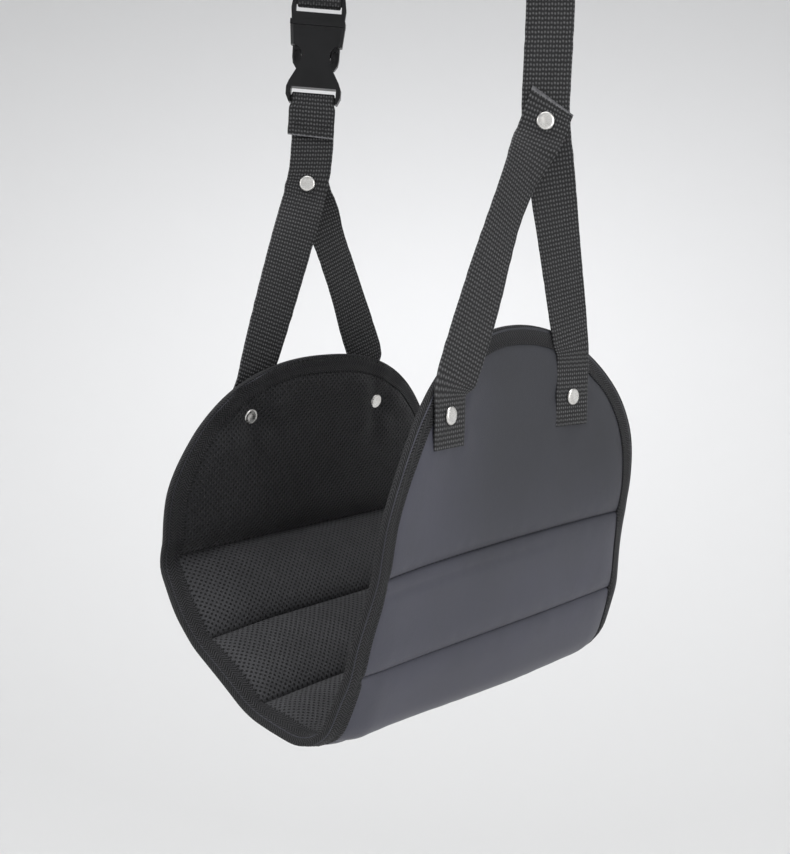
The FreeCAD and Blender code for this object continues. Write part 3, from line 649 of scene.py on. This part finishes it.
def edge_binding():
    """Tape folded round the whole edge, gripping both faces."""
    wave = 0.5 * noise_at(RUN_LENGTH, RUN_LENGTH * 0, 35.0, 5.0)
    # bends of the tape's section: (in from the edge, height over the cloth)
    section = [(TAPE_WIDTH, -0.3), (TAPE_WIDTH - 0.4, TAPE), (9.0, TAPE + 0.1), (6.5, TAPE + 0.1),
               (4.0, TAPE), (2.2, TAPE - 0.3), (0.9, TAPE - 1.1)]

    def column(depth, height, sign):
        flat = EDGE + INWARD * (depth + wave[:, None] * (1 if depth > 2 else 0))
        return on_skin(*flat.T, sign, height)

    columns = [column(depth, height, 1) for depth, height in section]
    across = [depth + 3 for depth, height in section]
    for turn in (60, 30, 0, -30, -60):
        angle = math.radians(turn)
        flat = EDGE - INWARD * math.cos(angle)
        columns.append(place(*flat.T, EDGE_HALF * 0.95 * math.sin(angle)))
        across.append(3 * turn / 90)
    columns += [column(depth, height, -1) for depth, height in section[::-1]]
    across += [-depth - 3 for depth, height in section[::-1]]
    columns += [column(TAPE_WIDTH - 2, -0.5, sign) for sign in (-1, 1)]
    across += [sign * (TAPE_WIDTH + 3) for sign in (-1, 1)]
    points = np.stack(columns, axis=1)
    rows, count = points.shape[:2]
    uvs = np.stack([np.repeat(np.array(across)[None, :], rows, 0),
                    np.repeat(RUN_LENGTH[:, None], count, 1)], axis=-1)
    faces = grid_faces(rows, count, close_rows=True, close_columns=True)
    thing = make_mesh("edge_binding_tape", points.reshape(-1, 3), faces, uvs.reshape(-1, 2), BINDING)
    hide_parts("edge_binding")
    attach(thing, "sling")


def stitches(name, starts, ends, outwards, radius):
    """Row of short threads, each bowed a little out of the cloth."""
    points, faces = [], []
    sides, rings = 6, 5
    for start, end, out in zip(starts, ends, outwards):
        heading = unit(end - start)
        sideways = np.cross(heading, out)
        first = len(points)
        for ring in range(rings):
            part = ring / (rings - 1)
            middle_point = start + (end - start) * part + out * (radius * 1.2 * math.sin(math.pi * part))
            thick = radius * (0.55 + 0.45 * math.sin(math.pi * part))
            for side in range(sides):
                angle = 2 * math.pi * side / sides
                points.append(middle_point + (out * math.cos(angle) + sideways * math.sin(angle)) * thick)
        faces += grid_faces(rings, sides, first, close_columns=True)
        ends_at = first + (rings - 1) * sides
        faces += [list(range(first, first + sides)), list(range(ends_at, ends_at + sides))[::-1]]
    return make_mesh(name, np.array(points), faces, material=THREAD)


def seam_stitches():
    """Both faces of every quilting seam."""
    starts, ends, outs = [], [], []
    for seam in SEAMS:
        for sign in (1, -1):
            y = np.arange(-HALF_DEPTH + 12, HALF_DEPTH - 12, 3.4)
            height = sign * (skin_height(seam, y, sign > 0) + 0.12)
            heading = middle([seam])[2][0]
            out = sign * vec(math.sin(heading), 0, -math.cos(heading))
            starts += list(place(seam, y, height))
            ends += list(place(seam, y + 2.5, height))
            outs += [out] * len(y)
    thing = stitches("quilting_stitches", starts, ends, outs, 0.28)
    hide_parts("quilting_seams")
    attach(thing, "sling")


def binding_stitches():
    """Row of stitches near the inner margin of the tape, on both faces."""
    starts, ends, outs = [], [], []
    row = EDGE + INWARD * (TAPE_WIDTH - 2.0)
    row = np.concatenate([row, row[:1]])
    run = np.append(RUN_LENGTH, EDGE_LENGTH)

    def spot(s, sign, lift):
        return on_skin(np.interp(s, run, row[:, 0]), np.interp(s, run, row[:, 1]), sign, lift)

    s = np.arange(0, EDGE_LENGTH - 3.2, 3.2)
    for sign in (1, -1):
        a, b, above = spot(s, sign, TAPE + 0.05), spot(s + 2.3, sign, TAPE + 0.05), spot(s, sign, 5.0)
        starts += list(a)
        ends += list(b)
        outs += [unit(v) for v in above - a]
    thing = stitches("binding_stitches", starts, ends, outs, 0.22)
    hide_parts("edge_binding")
    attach(thing, "sling")


edge_binding()
seam_stitches()
binding_stitches()


# ---- webbing ----
def interpolate(stations, step):
    """Smooth a run of webbing through stations of (middle, direction across)."""
    middles, across = (np.array(column) for column in zip(*stations))
    gaps = np.linalg.norm(np.diff(middles, axis=0), axis=1)
    knots = np.concatenate([[0], np.cumsum(gaps)])
    places = np.unique(np.concatenate([np.arange(0, knots[-1], step), knots]))
    index = np.clip(np.searchsorted(knots, places, side="right") - 1, 0, len(gaps) - 1)
    gap = gaps[index]
    t = (places - knots[index]) / gap

    def monotone(values):
        """Cubic that passes the values without swinging past them."""
        slopes = np.diff(values) / gaps
        bends = np.zeros(len(values))
        bends[0], bends[-1] = slopes[0], slopes[-1]
        for k in range(1, len(values) - 1):
            if slopes[k - 1] * slopes[k] > 0:
                bends[k] = 2 * slopes[k - 1] * slopes[k] / (slopes[k - 1] + slopes[k])
        return ((2 * t ** 3 - 3 * t ** 2 + 1) * values[index]
                + (t ** 3 - 2 * t ** 2 + t) * gap * bends[index]
                + (3 * t ** 2 - 2 * t ** 3) * values[index + 1]
                + (t ** 3 - t ** 2) * gap * bends[index + 1])

    centre = np.stack([monotone(column) for column in middles.T], axis=1)
    side = units(np.stack([monotone(column) for column in across.T], axis=1))
    heading = units(np.gradient(centre, places, axis=0))
    return centre, side, heading, units(np.cross(side, heading)), places


def webbing_run(name, stations, end_cut=None, seed=1.0, step=1.6, spread_from=None):
    """Flat webbing with woven edges; a cut end is sealed, painted paler as a highlight, and skewed by that
    many degrees.

    The last spread_from millimetres are pressed FLAP_SPREAD wider on each side.
    """
    centre, side, heading, normal, places = interpolate(stations, step)
    total, half = places[-1], WEBBING / 2
    across = np.array([-1, -0.985, -0.94, -0.8, -0.6, -0.4, -0.2, 0, 0.2, 0.4, 0.6, 0.8, 0.94, 0.985, 1])
    rim = np.sqrt(np.clip(1 - ((np.abs(across) - 0.94) / 0.06).clip(0, 1) ** 2, 0.02, 1))
    skew = math.tan(math.radians(end_cut or 0.0))
    rings = []
    for k, run in enumerate(places):
        wave = 0.25 * noise.noise(Vector((run / 30.0, seed, 0)))
        edge = 0.25 * noise.noise(Vector((run / 5.0, seed, 7)))
        if spread_from:
            edge += FLAP_SPREAD * float(smooth(run, total - spread_from, total - spread_from + 4))
        slide = across * half * skew * math.exp(-(total - run) / 6.0)
        width = across * (half + edge)
        base = (centre[k] + side[k] * width[:, None] + heading[k] * slide[:, None]
                + normal[k] * (wave * across[:, None] ** 2))
        lift = normal[k] * (WEB / 2 * rim[:, None])
        rings.append(np.concatenate([base + lift, (base - lift)[::-1]]))
    points = np.array(rings)
    rows, count = points.shape[:2]
    # the underside shows another stretch of the weave
    spread = np.concatenate([across * half, (across * half)[::-1] + 60.0])
    uvs = np.stack([np.repeat(spread[None, :], rows, 0), np.repeat(places[:, None], count, 1)], axis=-1)
    faces = grid_faces(rows, count, close_columns=True, flip=True)
    for row in (0, rows - 1):
        first = row * count
        for j in range(len(across) - 1):
            quad = [first + j, first + j + 1, first + count - 2 - j, first + count - 1 - j]
            faces.append(quad if row == 0 else quad[::-1])
    # the cut end's faces take the sealed end's paler colour, a painted highlight
    highlit_cut_faces = []
    if end_cut is not None:
        highlit_cut_faces = list(range((rows - 2) * count, (rows - 1) * count))
        highlit_cut_faces += list(range(len(faces) - (len(across) - 1), len(faces)))
    return make_mesh(name, points.reshape(-1, 3), faces, uvs.reshape(-1, 2), STRAP, SEALED_HIGHLIGHT, highlit_cut_faces)


def strap_station(near, z, azimuth, depth=0.0):
    """Station of a strap at height z, that many millimetres out along the azimuth it faces."""
    return strap_line(near, z) + facing(azimuth) * depth, along_width(azimuth)


# which azimuth each leg faces, at parts of the way up its free stretch
TWIST = {(NEAR, FRONT): [(0.10, 79), (0.26, 77), (0.43, 80), (0.55, 85), (0.70, 89), (0.82, 86),
                         (0.92, 70), (0.97, 52)],
         (NEAR, REAR): [(0.10, 75), (0.28, 70), (0.55, 63), (0.78, 51), (0.93, 44)],
         (FAR, FRONT): [(0.12, 84), (0.3, 76), (0.55, 66), (0.78, 54), (0.93, 44)],
         (FAR, REAR): [(0.12, 76), (0.3, 78), (0.5, 86), (0.75, 88), (0.92, 66)]}
# how far a leg bows sideways there; the two that run on as straps are straight
BOW = {(NEAR, FRONT): [(0.0, 0.0), (0.3, -1.4), (0.6, -3.4), (0.78, -3.8), (0.93, -1.6), (1.0, 0.0)],
       (FAR, REAR): [(0.0, 4.5), (0.15, 5.8), (0.4, 5.5), (0.62, 5.0), (0.75, 3.8), (0.85, 2.6), (1.0, 1.2)]}


def squared(point, azimuth, heading):
    """Station that faces an azimuth, with its width square to the heading."""
    across = along_width(azimuth)
    return point, unit(across - heading * across.dot(heading))


def on_panel(near, y, z, height):
    """Point on an upper panel and the direction of its cloth across the panel."""
    along = along_at(near, z)
    # the panel's sag is worked out about its own shifted middle line
    own_y = y - (float(centre_shift(z)) if near else 0.0)
    lean = place(along, own_y + 5, height) - place(along, own_y - 5, height)
    return place(along, own_y, height), unit(lean)


def leg_start(near, side, leave_z):
    """Stations of a leg on its panel, from its tail to where it leaves."""
    rivet_z, apex, y = RIVET_Z[near], APEX[near], leg_y(near, side)
    slant = 0.0 if near else (apex[1] - y) / (apex[2] - rivet_z)
    turn = Matrix.Rotation(math.radians(NEAR_TURN if near else 0), 3, "Z")
    stations = []
    for z in (rivet_z - LEG_TAIL, rivet_z, leave_z):
        spot, across = on_panel(near, y + slant * (z - rivet_z), z, LEG_OFFSET + (0.5 if near else 0))
        stations.append((spot, unit(vec(*(turn @ Vector(across))) - UP * slant)))
    return stations


def leg(near, side, leave_z, lift=0.0, tip=None):
    """Stations of a leg up to its apex, lifted off the other leg there, and on to a cut tip."""
    apex = APEX[near]
    stations = leg_start(near, side, leave_z)
    start = stations[-1][0]
    heading = apex - start
    in_plane = unit(heading - TOWARDS * heading.dot(TOWARDS))
    finish = apex + TOWARDS * lift - in_plane * FLAT_AT_APEX
    heading = unit(finish - start)
    parts, sideways = zip(*BOW.get((near, side), [(0.0, 0.0), (1.0, 0.0)]))
    for part, azimuth in TWIST[near, side]:
        spot = start + (finish - start) * part + ACROSS * np.interp(part, parts, sideways)
        stations.append(squared(spot, azimuth, heading))
    stations.append(squared(finish, FACING, in_plane))
    if tip is not None:
        stations += [squared(apex + TOWARDS * lift + in_plane * past, FACING, in_plane)
                     for past in (0.0, tip)]
    return stations


def short_leg(near, side, name, node, leave_z, cut):
    """Leg that ends just above its apex rivet, in front of the near strap or behind the far one."""
    stations = leg(near, side, leave_z, (1 if near else -1) * (WEB + FIT), LEG_TIP[near])
    thing = webbing_run(name, stations, end_cut=cut, seed=2.0 + side)
    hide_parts(node)
    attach(thing, "sling")


def near_webbing():
    """The near rear leg and the strap that it becomes, up to the slider's run."""
    stations = leg(NEAR, REAR, 190.0)
    stations += [strap_station(NEAR, z, FACING) for z in (APEX[NEAR][2] + 8, 330.0, 372.0)]
    stations.append(strap_station(NEAR, PASS_LOW_Z, SLIDER_FACING, BEHIND))
    thing = webbing_run("near_webbing", stations, seed=4.0)
    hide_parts("near_rear_leg", "near_strap_bend", "near_strap")
    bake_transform(thing)


def on_buckle(x, y, z):
    """Buckle coordinates: across, up from the middle of the socket's slot, and forwards."""
    return strap_line(FAR, SLOT_CENTRE_Z) + LEAN_ACROSS * x + LEAN_UP * y + TOWARDS * z


def round_bar(bar_y, radius, over):
    """Stations from front to back round a bar of the buckle, over it (1) or under it (-1)."""
    angles = [math.pi * k / 8 for k in range(9)]
    return [(on_buckle(0, bar_y + over * radius * math.sin(a), radius * math.cos(a)), LEAN_ACROSS)
            for a in angles]


def far_webbing():
    """The far front leg, the strap it becomes, and its fold round the buckle's bar."""
    stations = leg(FAR, FRONT, 172.0)
    back = SOCKET_BAR_HALF + FIT + WEB / 2
    bar_y = -SLOT_HALF - SOCKET_BAR_HALF
    for z, sideways, depth in ((APEX[FAR][2] + 8, 0.9, 0.0), (311.0, 1.3, 0.0), (322.0, 0.8, -back)):
        stations.append((strap_line(FAR, z) + ACROSS * sideways + TOWARDS * depth, ACROSS))
    stations.append((on_buckle(0, bar_y - 5, -back), LEAN_ACROSS))
    stations += round_bar(bar_y, back, 1)[::-1]
    stations.append((on_buckle(0, bar_y - 9, back), LEAN_ACROSS))
    stations.append((on_buckle(0, bar_y - FLAP_LENGTH, back - 1.2), LEAN_ACROSS))
    thing = webbing_run("far_webbing", stations, end_cut=2.0, seed=6.0, step=1.2, spread_from=FLAP_LENGTH - 2)
    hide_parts("far_front_leg", "far_strap_bend", "buckle_strap")
    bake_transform(thing)


def flap_stitches():
    """Rectangle of stitches that sews the flap to the strap behind it."""
    width, height = 19.0, 9.0
    origin = on_buckle(0, -15.5, SOCKET_BAR_HALF + FIT + WEB - 0.55)
    corners = [origin + LEAN_ACROSS * (x * width / 2) + LEAN_UP * (y * height / 2)
               for x, y in ((-1, -1), (1, -1), (1, 1), (-1, 1))]
    starts, ends = [], []
    for a, b in zip(corners, corners[1:] + corners[:1]):
        count = int(np.linalg.norm(b - a) / 3.0)
        starts += [a + (b - a) * (k + 0.12) / count for k in range(count)]
        ends += [a + (b - a) * (k + 0.88) / count for k in range(count)]
    thing = stitches("flap_stitches", starts, ends, [TOWARDS] * len(starts), 0.3)
    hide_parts("buckle_strap")
    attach(thing, "strap_loop")


short_leg(NEAR, FRONT, "near_front_webbing", "near_front_leg", 176.0, -15.0)
short_leg(FAR, REAR, "far_rear_webbing", "far_rear_leg", 168.0, 10.0)
near_webbing()
far_webbing()
flap_stitches()


# ---- the loop over its support, with the slider and the plug's webbing ----
RUN = unit((strap_line(NEAR, BEND_Z) - strap_line(FAR, BEND_Z)) * vec(1, 1, 0))
RUN_ACROSS = vec(-RUN[1], RUN[0], 0)
RUN_FACING = math.degrees(math.atan2(RUN[0], -RUN[1]))


def loop_layer(name, node, offset, depth, seed):
    """One layer of the loop, from the slider's run over both top bends."""
    stations = [strap_station(NEAR, PASS_TOP_Z, SLIDER_FACING, depth)]
    for near, first, inwards in ((NEAR, 0.0, -1.0), (FAR, math.pi / 2, 1.0)):
        centre = strap_line(near, BEND_Z) + RUN * inwards * BEND_RADIUS
        for step in range(11):
            angle = first + math.pi / 2 * step / 10
            out = RUN * math.cos(angle) + UP * math.sin(angle)
            stations.append((centre + out * (BEND_RADIUS + offset), RUN_ACROSS))
    thing = webbing_run(name, stations, seed=seed)
    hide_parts(node)
    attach(thing, "strap_loop")


def slider_run(name, depth, low_z, seed):
    """Straight webbing behind the slider."""
    stations = [strap_station(NEAR, z, SLIDER_FACING, depth)
                for z in (low_z, (low_z + PASS_TOP_Z) / 2, PASS_TOP_Z)]
    thing = webbing_run(name, stations, seed=seed)
    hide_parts("slider_pass")
    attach(thing, "strap_loop")


def slider_hump():
    """Webbing over the slider's middle bar; it moves along the strap with the slider."""
    # half the slider's thickness, and the webbing sewn round its bar
    bar, ring = 1.3, 1.3
    over = LAYER + bar + FIT + ring + 0.9
    low, foot = BEHIND + 1.4, BEHIND + 1.6
    stations = [strap_station(NEAR, SLIDER_Z + rise, SLIDER_FACING, depth)
                for rise, depth in ((-11.0, low), (-8.0, foot), (-3.4, over - 0.5), (0.0, over),
                                    (3.4, over - 0.5), (8.0, foot), (11.0, low))]
    thing = webbing_run("slider_hump", stations, seed=11.0, step=0.8)
    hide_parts("slider_web_loop")
    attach(thing, "adjuster")


def far_run():
    """Both layers from the plug up to the top bend."""
    foot_y = PLUG_SLOT + SLOT_HALF + PLUG_BAR_HALF + 5.0
    gap = PLUG_BAR_HALF + FIT + WEB / 2
    foot = on_buckle(0, foot_y, 0)
    for sign, name in ((1, "far_run_outer"), (-1, "far_run_inner")):
        stations = [(foot + TOWARDS * (sign * gap), LEAN_ACROSS)]
        stations += [strap_station(FAR, z, azimuth, sign * spread)
                     for z, azimuth, spread in ((foot[2] + 20, FACING + 12, 1.6),
                                                (foot[2] + 42, FACING + 34, LAYER),
                                                (BEND_Z - 8, RUN_FACING, LAYER), (BEND_Z, RUN_FACING, LAYER))]
        thing = webbing_run(name, stations, seed=12.0 + sign)
        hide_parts("far_run")
        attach(thing, "strap_loop")
        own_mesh(thing)


def plug_turn():
    """Webbing folded round the plug's bar."""
    turn = PLUG_BAR_HALF + FIT + WEB / 2
    bar_y = PLUG_SLOT + SLOT_HALF + PLUG_BAR_HALF
    stations = [(on_buckle(0, bar_y + 5.0, turn), LEAN_ACROSS)]
    stations += round_bar(bar_y, turn, -1)
    stations.append((on_buckle(0, bar_y + 5.0, -turn), LEAN_ACROSS))
    thing = webbing_run("plug_webbing", stations, seed=15.0, step=1.0)
    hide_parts("plug_web_turn")
    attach(thing, "plug")


loop_layer("loop_outer_webbing", "loop_outer_layer", LAYER, BEHIND, 7.0)
loop_layer("loop_inner_webbing", "loop_inner_layer", -LAYER, TAIL_BEHIND, 8.0)
slider_run("slider_strap", BEHIND, PASS_LOW_Z, 9.0)
slider_run("slider_tail", TAIL_BEHIND, 421.0, 10.0)
slider_hump()
far_run()
plug_turn()


# ---- rivets ----
def rivet_cap(name, node, base, axis, dent):
    """Pressed cap with a rolled rim and a slightly sunken, dented crown."""
    profile = [(0.0, 1.32 - dent), (1.6, 1.35 - dent * 0.9), (3.0, 1.34 - dent * 0.3), (3.9, 1.20),
               (4.3, 1.02), (4.65, 0.55), (CAP_RADIUS, 0.1), (4.5, -0.15), (2.2, -0.2)]
    side = unit(np.cross(axis, vec(0.3, 0.2, 1.0)))
    other = np.cross(axis, side)
    count = 40
    points = [base + axis * profile[0][1]]
    for radius, rise in profile[1:]:
        for k in range(count):
            angle = 2 * math.pi * k / count
            point = base + axis * rise + (side * math.cos(angle) + other * math.sin(angle)) * radius
            points.append(point + axis * (0.06 * noise.noise(Vector(point * 0.35))))
    faces = [[0, 1 + k, 1 + (k + 1) % count] for k in range(count)]
    faces += grid_faces(len(profile) - 1, count, 1, close_columns=True)
    last = 1 + (len(profile) - 2) * count
    faces.append([last + k for k in range(count)][::-1])
    thing = make_mesh(name, np.array(points), faces, material=NICKEL)
    rounding = thing.modifiers.new("round", "SUBSURF")
    rounding.levels = rounding.render_levels = 1
    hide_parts(node)
    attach(thing, "sling")


def panel_caps():
    """Both caps of the rivet that holds each leg to its panel."""
    for near, side in LEGS:
        y, z = leg_y(near, side), RIVET_Z[near]
        outer, lean = on_panel(near, y, z, LEG_OFFSET + WEB / 2 + (0.4 if near else -0.1))
        inner = on_panel(near, y, z, -3.5)[0]
        outward = unit(np.cross(lean, UP)) * (1 if near else -1)
        inward = -outward if near else unit(-outward - UP * 0.28)
        place_name = "%s_%s" % ("near" if near else "far", "front" if side == FRONT else "rear")
        rivet_cap("cap_%s_outer" % place_name, "panel_rivet_posts", outer, outward, 0.25)
        rivet_cap("cap_%s_inner" % place_name, "panel_rivet_backs", inner, inward, 0.3)


def apex_caps():
    """Both caps of each apex rivet, which holds one leg's tip to the strap."""
    plain, doubled = WEB / 2, WEB * 1.5 + FIT
    for near, side, front, back in ((NEAR, "near", doubled, plain), (FAR, "far", plain, doubled)):
        rivet_cap("cap_%s_apex_front" % side, "apex_rivet_posts", APEX[near] + TOWARDS * front, TOWARDS, 0.2)
        rivet_cap("cap_%s_apex_back" % side, "apex_rivet_backs", APEX[near] - TOWARDS * back, -TOWARDS, 0.2)


panel_caps()
apex_caps()


# ---- buckle and slider: CAD solids with broken edges ----
def dress(node, radius):
    """Plastic and a small bevel on one of the CAD solids."""
    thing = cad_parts[node]
    thing.data.materials.clear()
    thing.data.materials.append(PLASTIC)
    bevel = thing.modifiers.new("edges", "BEVEL")
    bevel.width = radius / 1000.0
    bevel.segments = 3
    bevel.limit_method = "ANGLE"
    bevel.angle_limit = math.radians(35)
    bevel.harden_normals = True


for node_name, radius in (("buckle_socket", 0.55), ("buckle_plug", 0.5), ("prong_left", 0.35),
                          ("prong_right", 0.35), ("strap_slider", 0.4)):
    dress(node_name, radius)


# ---- studio ----
PAINTED_LIGHT_SPOT = (-1.11, 1.36, -0.20)           # centre of the pool of light painted onto the paper, behind the object
PAPER_PAINTED_LIGHT, PAPER_PAINTED_FALLOFF = (0.94, 0.94, 0.94), (0.645, 0.645, 0.64)


def studio_bowl():
    """Pale floor that curves up into a wall all round."""
    floor_z, radius, bend = -0.95, 3.0, 2.9
    profile = [(0.0, floor_z), (radius - bend, floor_z)]
    for step in range(1, 25):
        angle = math.pi / 2 * step / 24
        profile.append((radius - bend + bend * math.sin(angle), floor_z + bend * (1 - math.cos(angle))))
    profile.append((radius, floor_z + 4.4))
    count = 96
    turns = [2 * math.pi * k / count for k in range(count)]
    points = [(max(reach, 1e-4) * math.cos(turn), max(reach, 1e-4) * math.sin(turn), height)
              for reach, height in profile for turn in turns]
    # painted light: the paper's colour falls off from a painted pool of light behind the object to grey all
    # round
    s = Shader("studio_paper_painted_light")
    away = s.node("ShaderNodeVectorMath", {0: s.spot(), 1: PAINTED_LIGHT_SPOT}, operation="DISTANCE").outputs["Value"]
    paper = s.finish(s.ramp(s.times(away, 1 / 1.6), 0.06, 0.85, PAPER_PAINTED_LIGHT, PAPER_PAINTED_FALLOFF), 0.9)
    make_mesh("studio_bowl", np.array(points) * 1000.0 + HANG_POINT,
                       grid_faces(len(profile), count, close_columns=True), material=paper)


def aimed(thing, place_at, target):
    """Put a lamp or camera into the scene, turned to the target."""
    thing.location = place_at
    direction = Vector(target) - Vector(place_at)
    thing.rotation_euler = direction.to_track_quat("-Z", "Y").to_euler()
    bpy.context.collection.objects.link(thing)


CAMERA_PLACE = (0.4195, -0.4992, -0.2535)
CAMERA_TARGET = (-0.0134, -0.0185, -0.3425)


def area_light(name, place_at, size, power):
    data = bpy.data.lights.new(name, "AREA")
    data.shape = "RECTANGLE"
    data.size, data.size_y = size
    data.energy = power
    lamp = bpy.data.objects.new(name, data)
    lamp.visible_camera = False
    aimed(lamp, place_at, CAMERA_TARGET)


def studio_lights():
    area_light("key", (1.5, -0.1, 0.0), (1.2, 1.2), 9.5)
    area_light("fill", (-0.9, -1.6, 0.4), (1.4, 1.2), 9.0)
    area_light("top", (0.0, 0.0, 1.7), (1.6, 1.6), 29.0)
    world = bpy.data.worlds.new("studio_air")
    world.use_nodes = True
    colour, strength = world.node_tree.nodes["Background"].inputs[:2]
    colour.default_value = (0.95, 0.96, 1.0, 1)
    strength.default_value = 0.92
    bpy.context.scene.world = world
    bpy.context.scene.view_settings.view_transform = "Standard"


def camera():
    data = bpy.data.cameras.new("camera")
    data.lens = 48.31
    data.clip_start = 0.02
    thing = bpy.data.objects.new("camera", data)
    aimed(thing, CAMERA_PLACE, CAMERA_TARGET)
    bpy.context.scene.camera = thing


studio_bowl()
studio_lights()
camera()
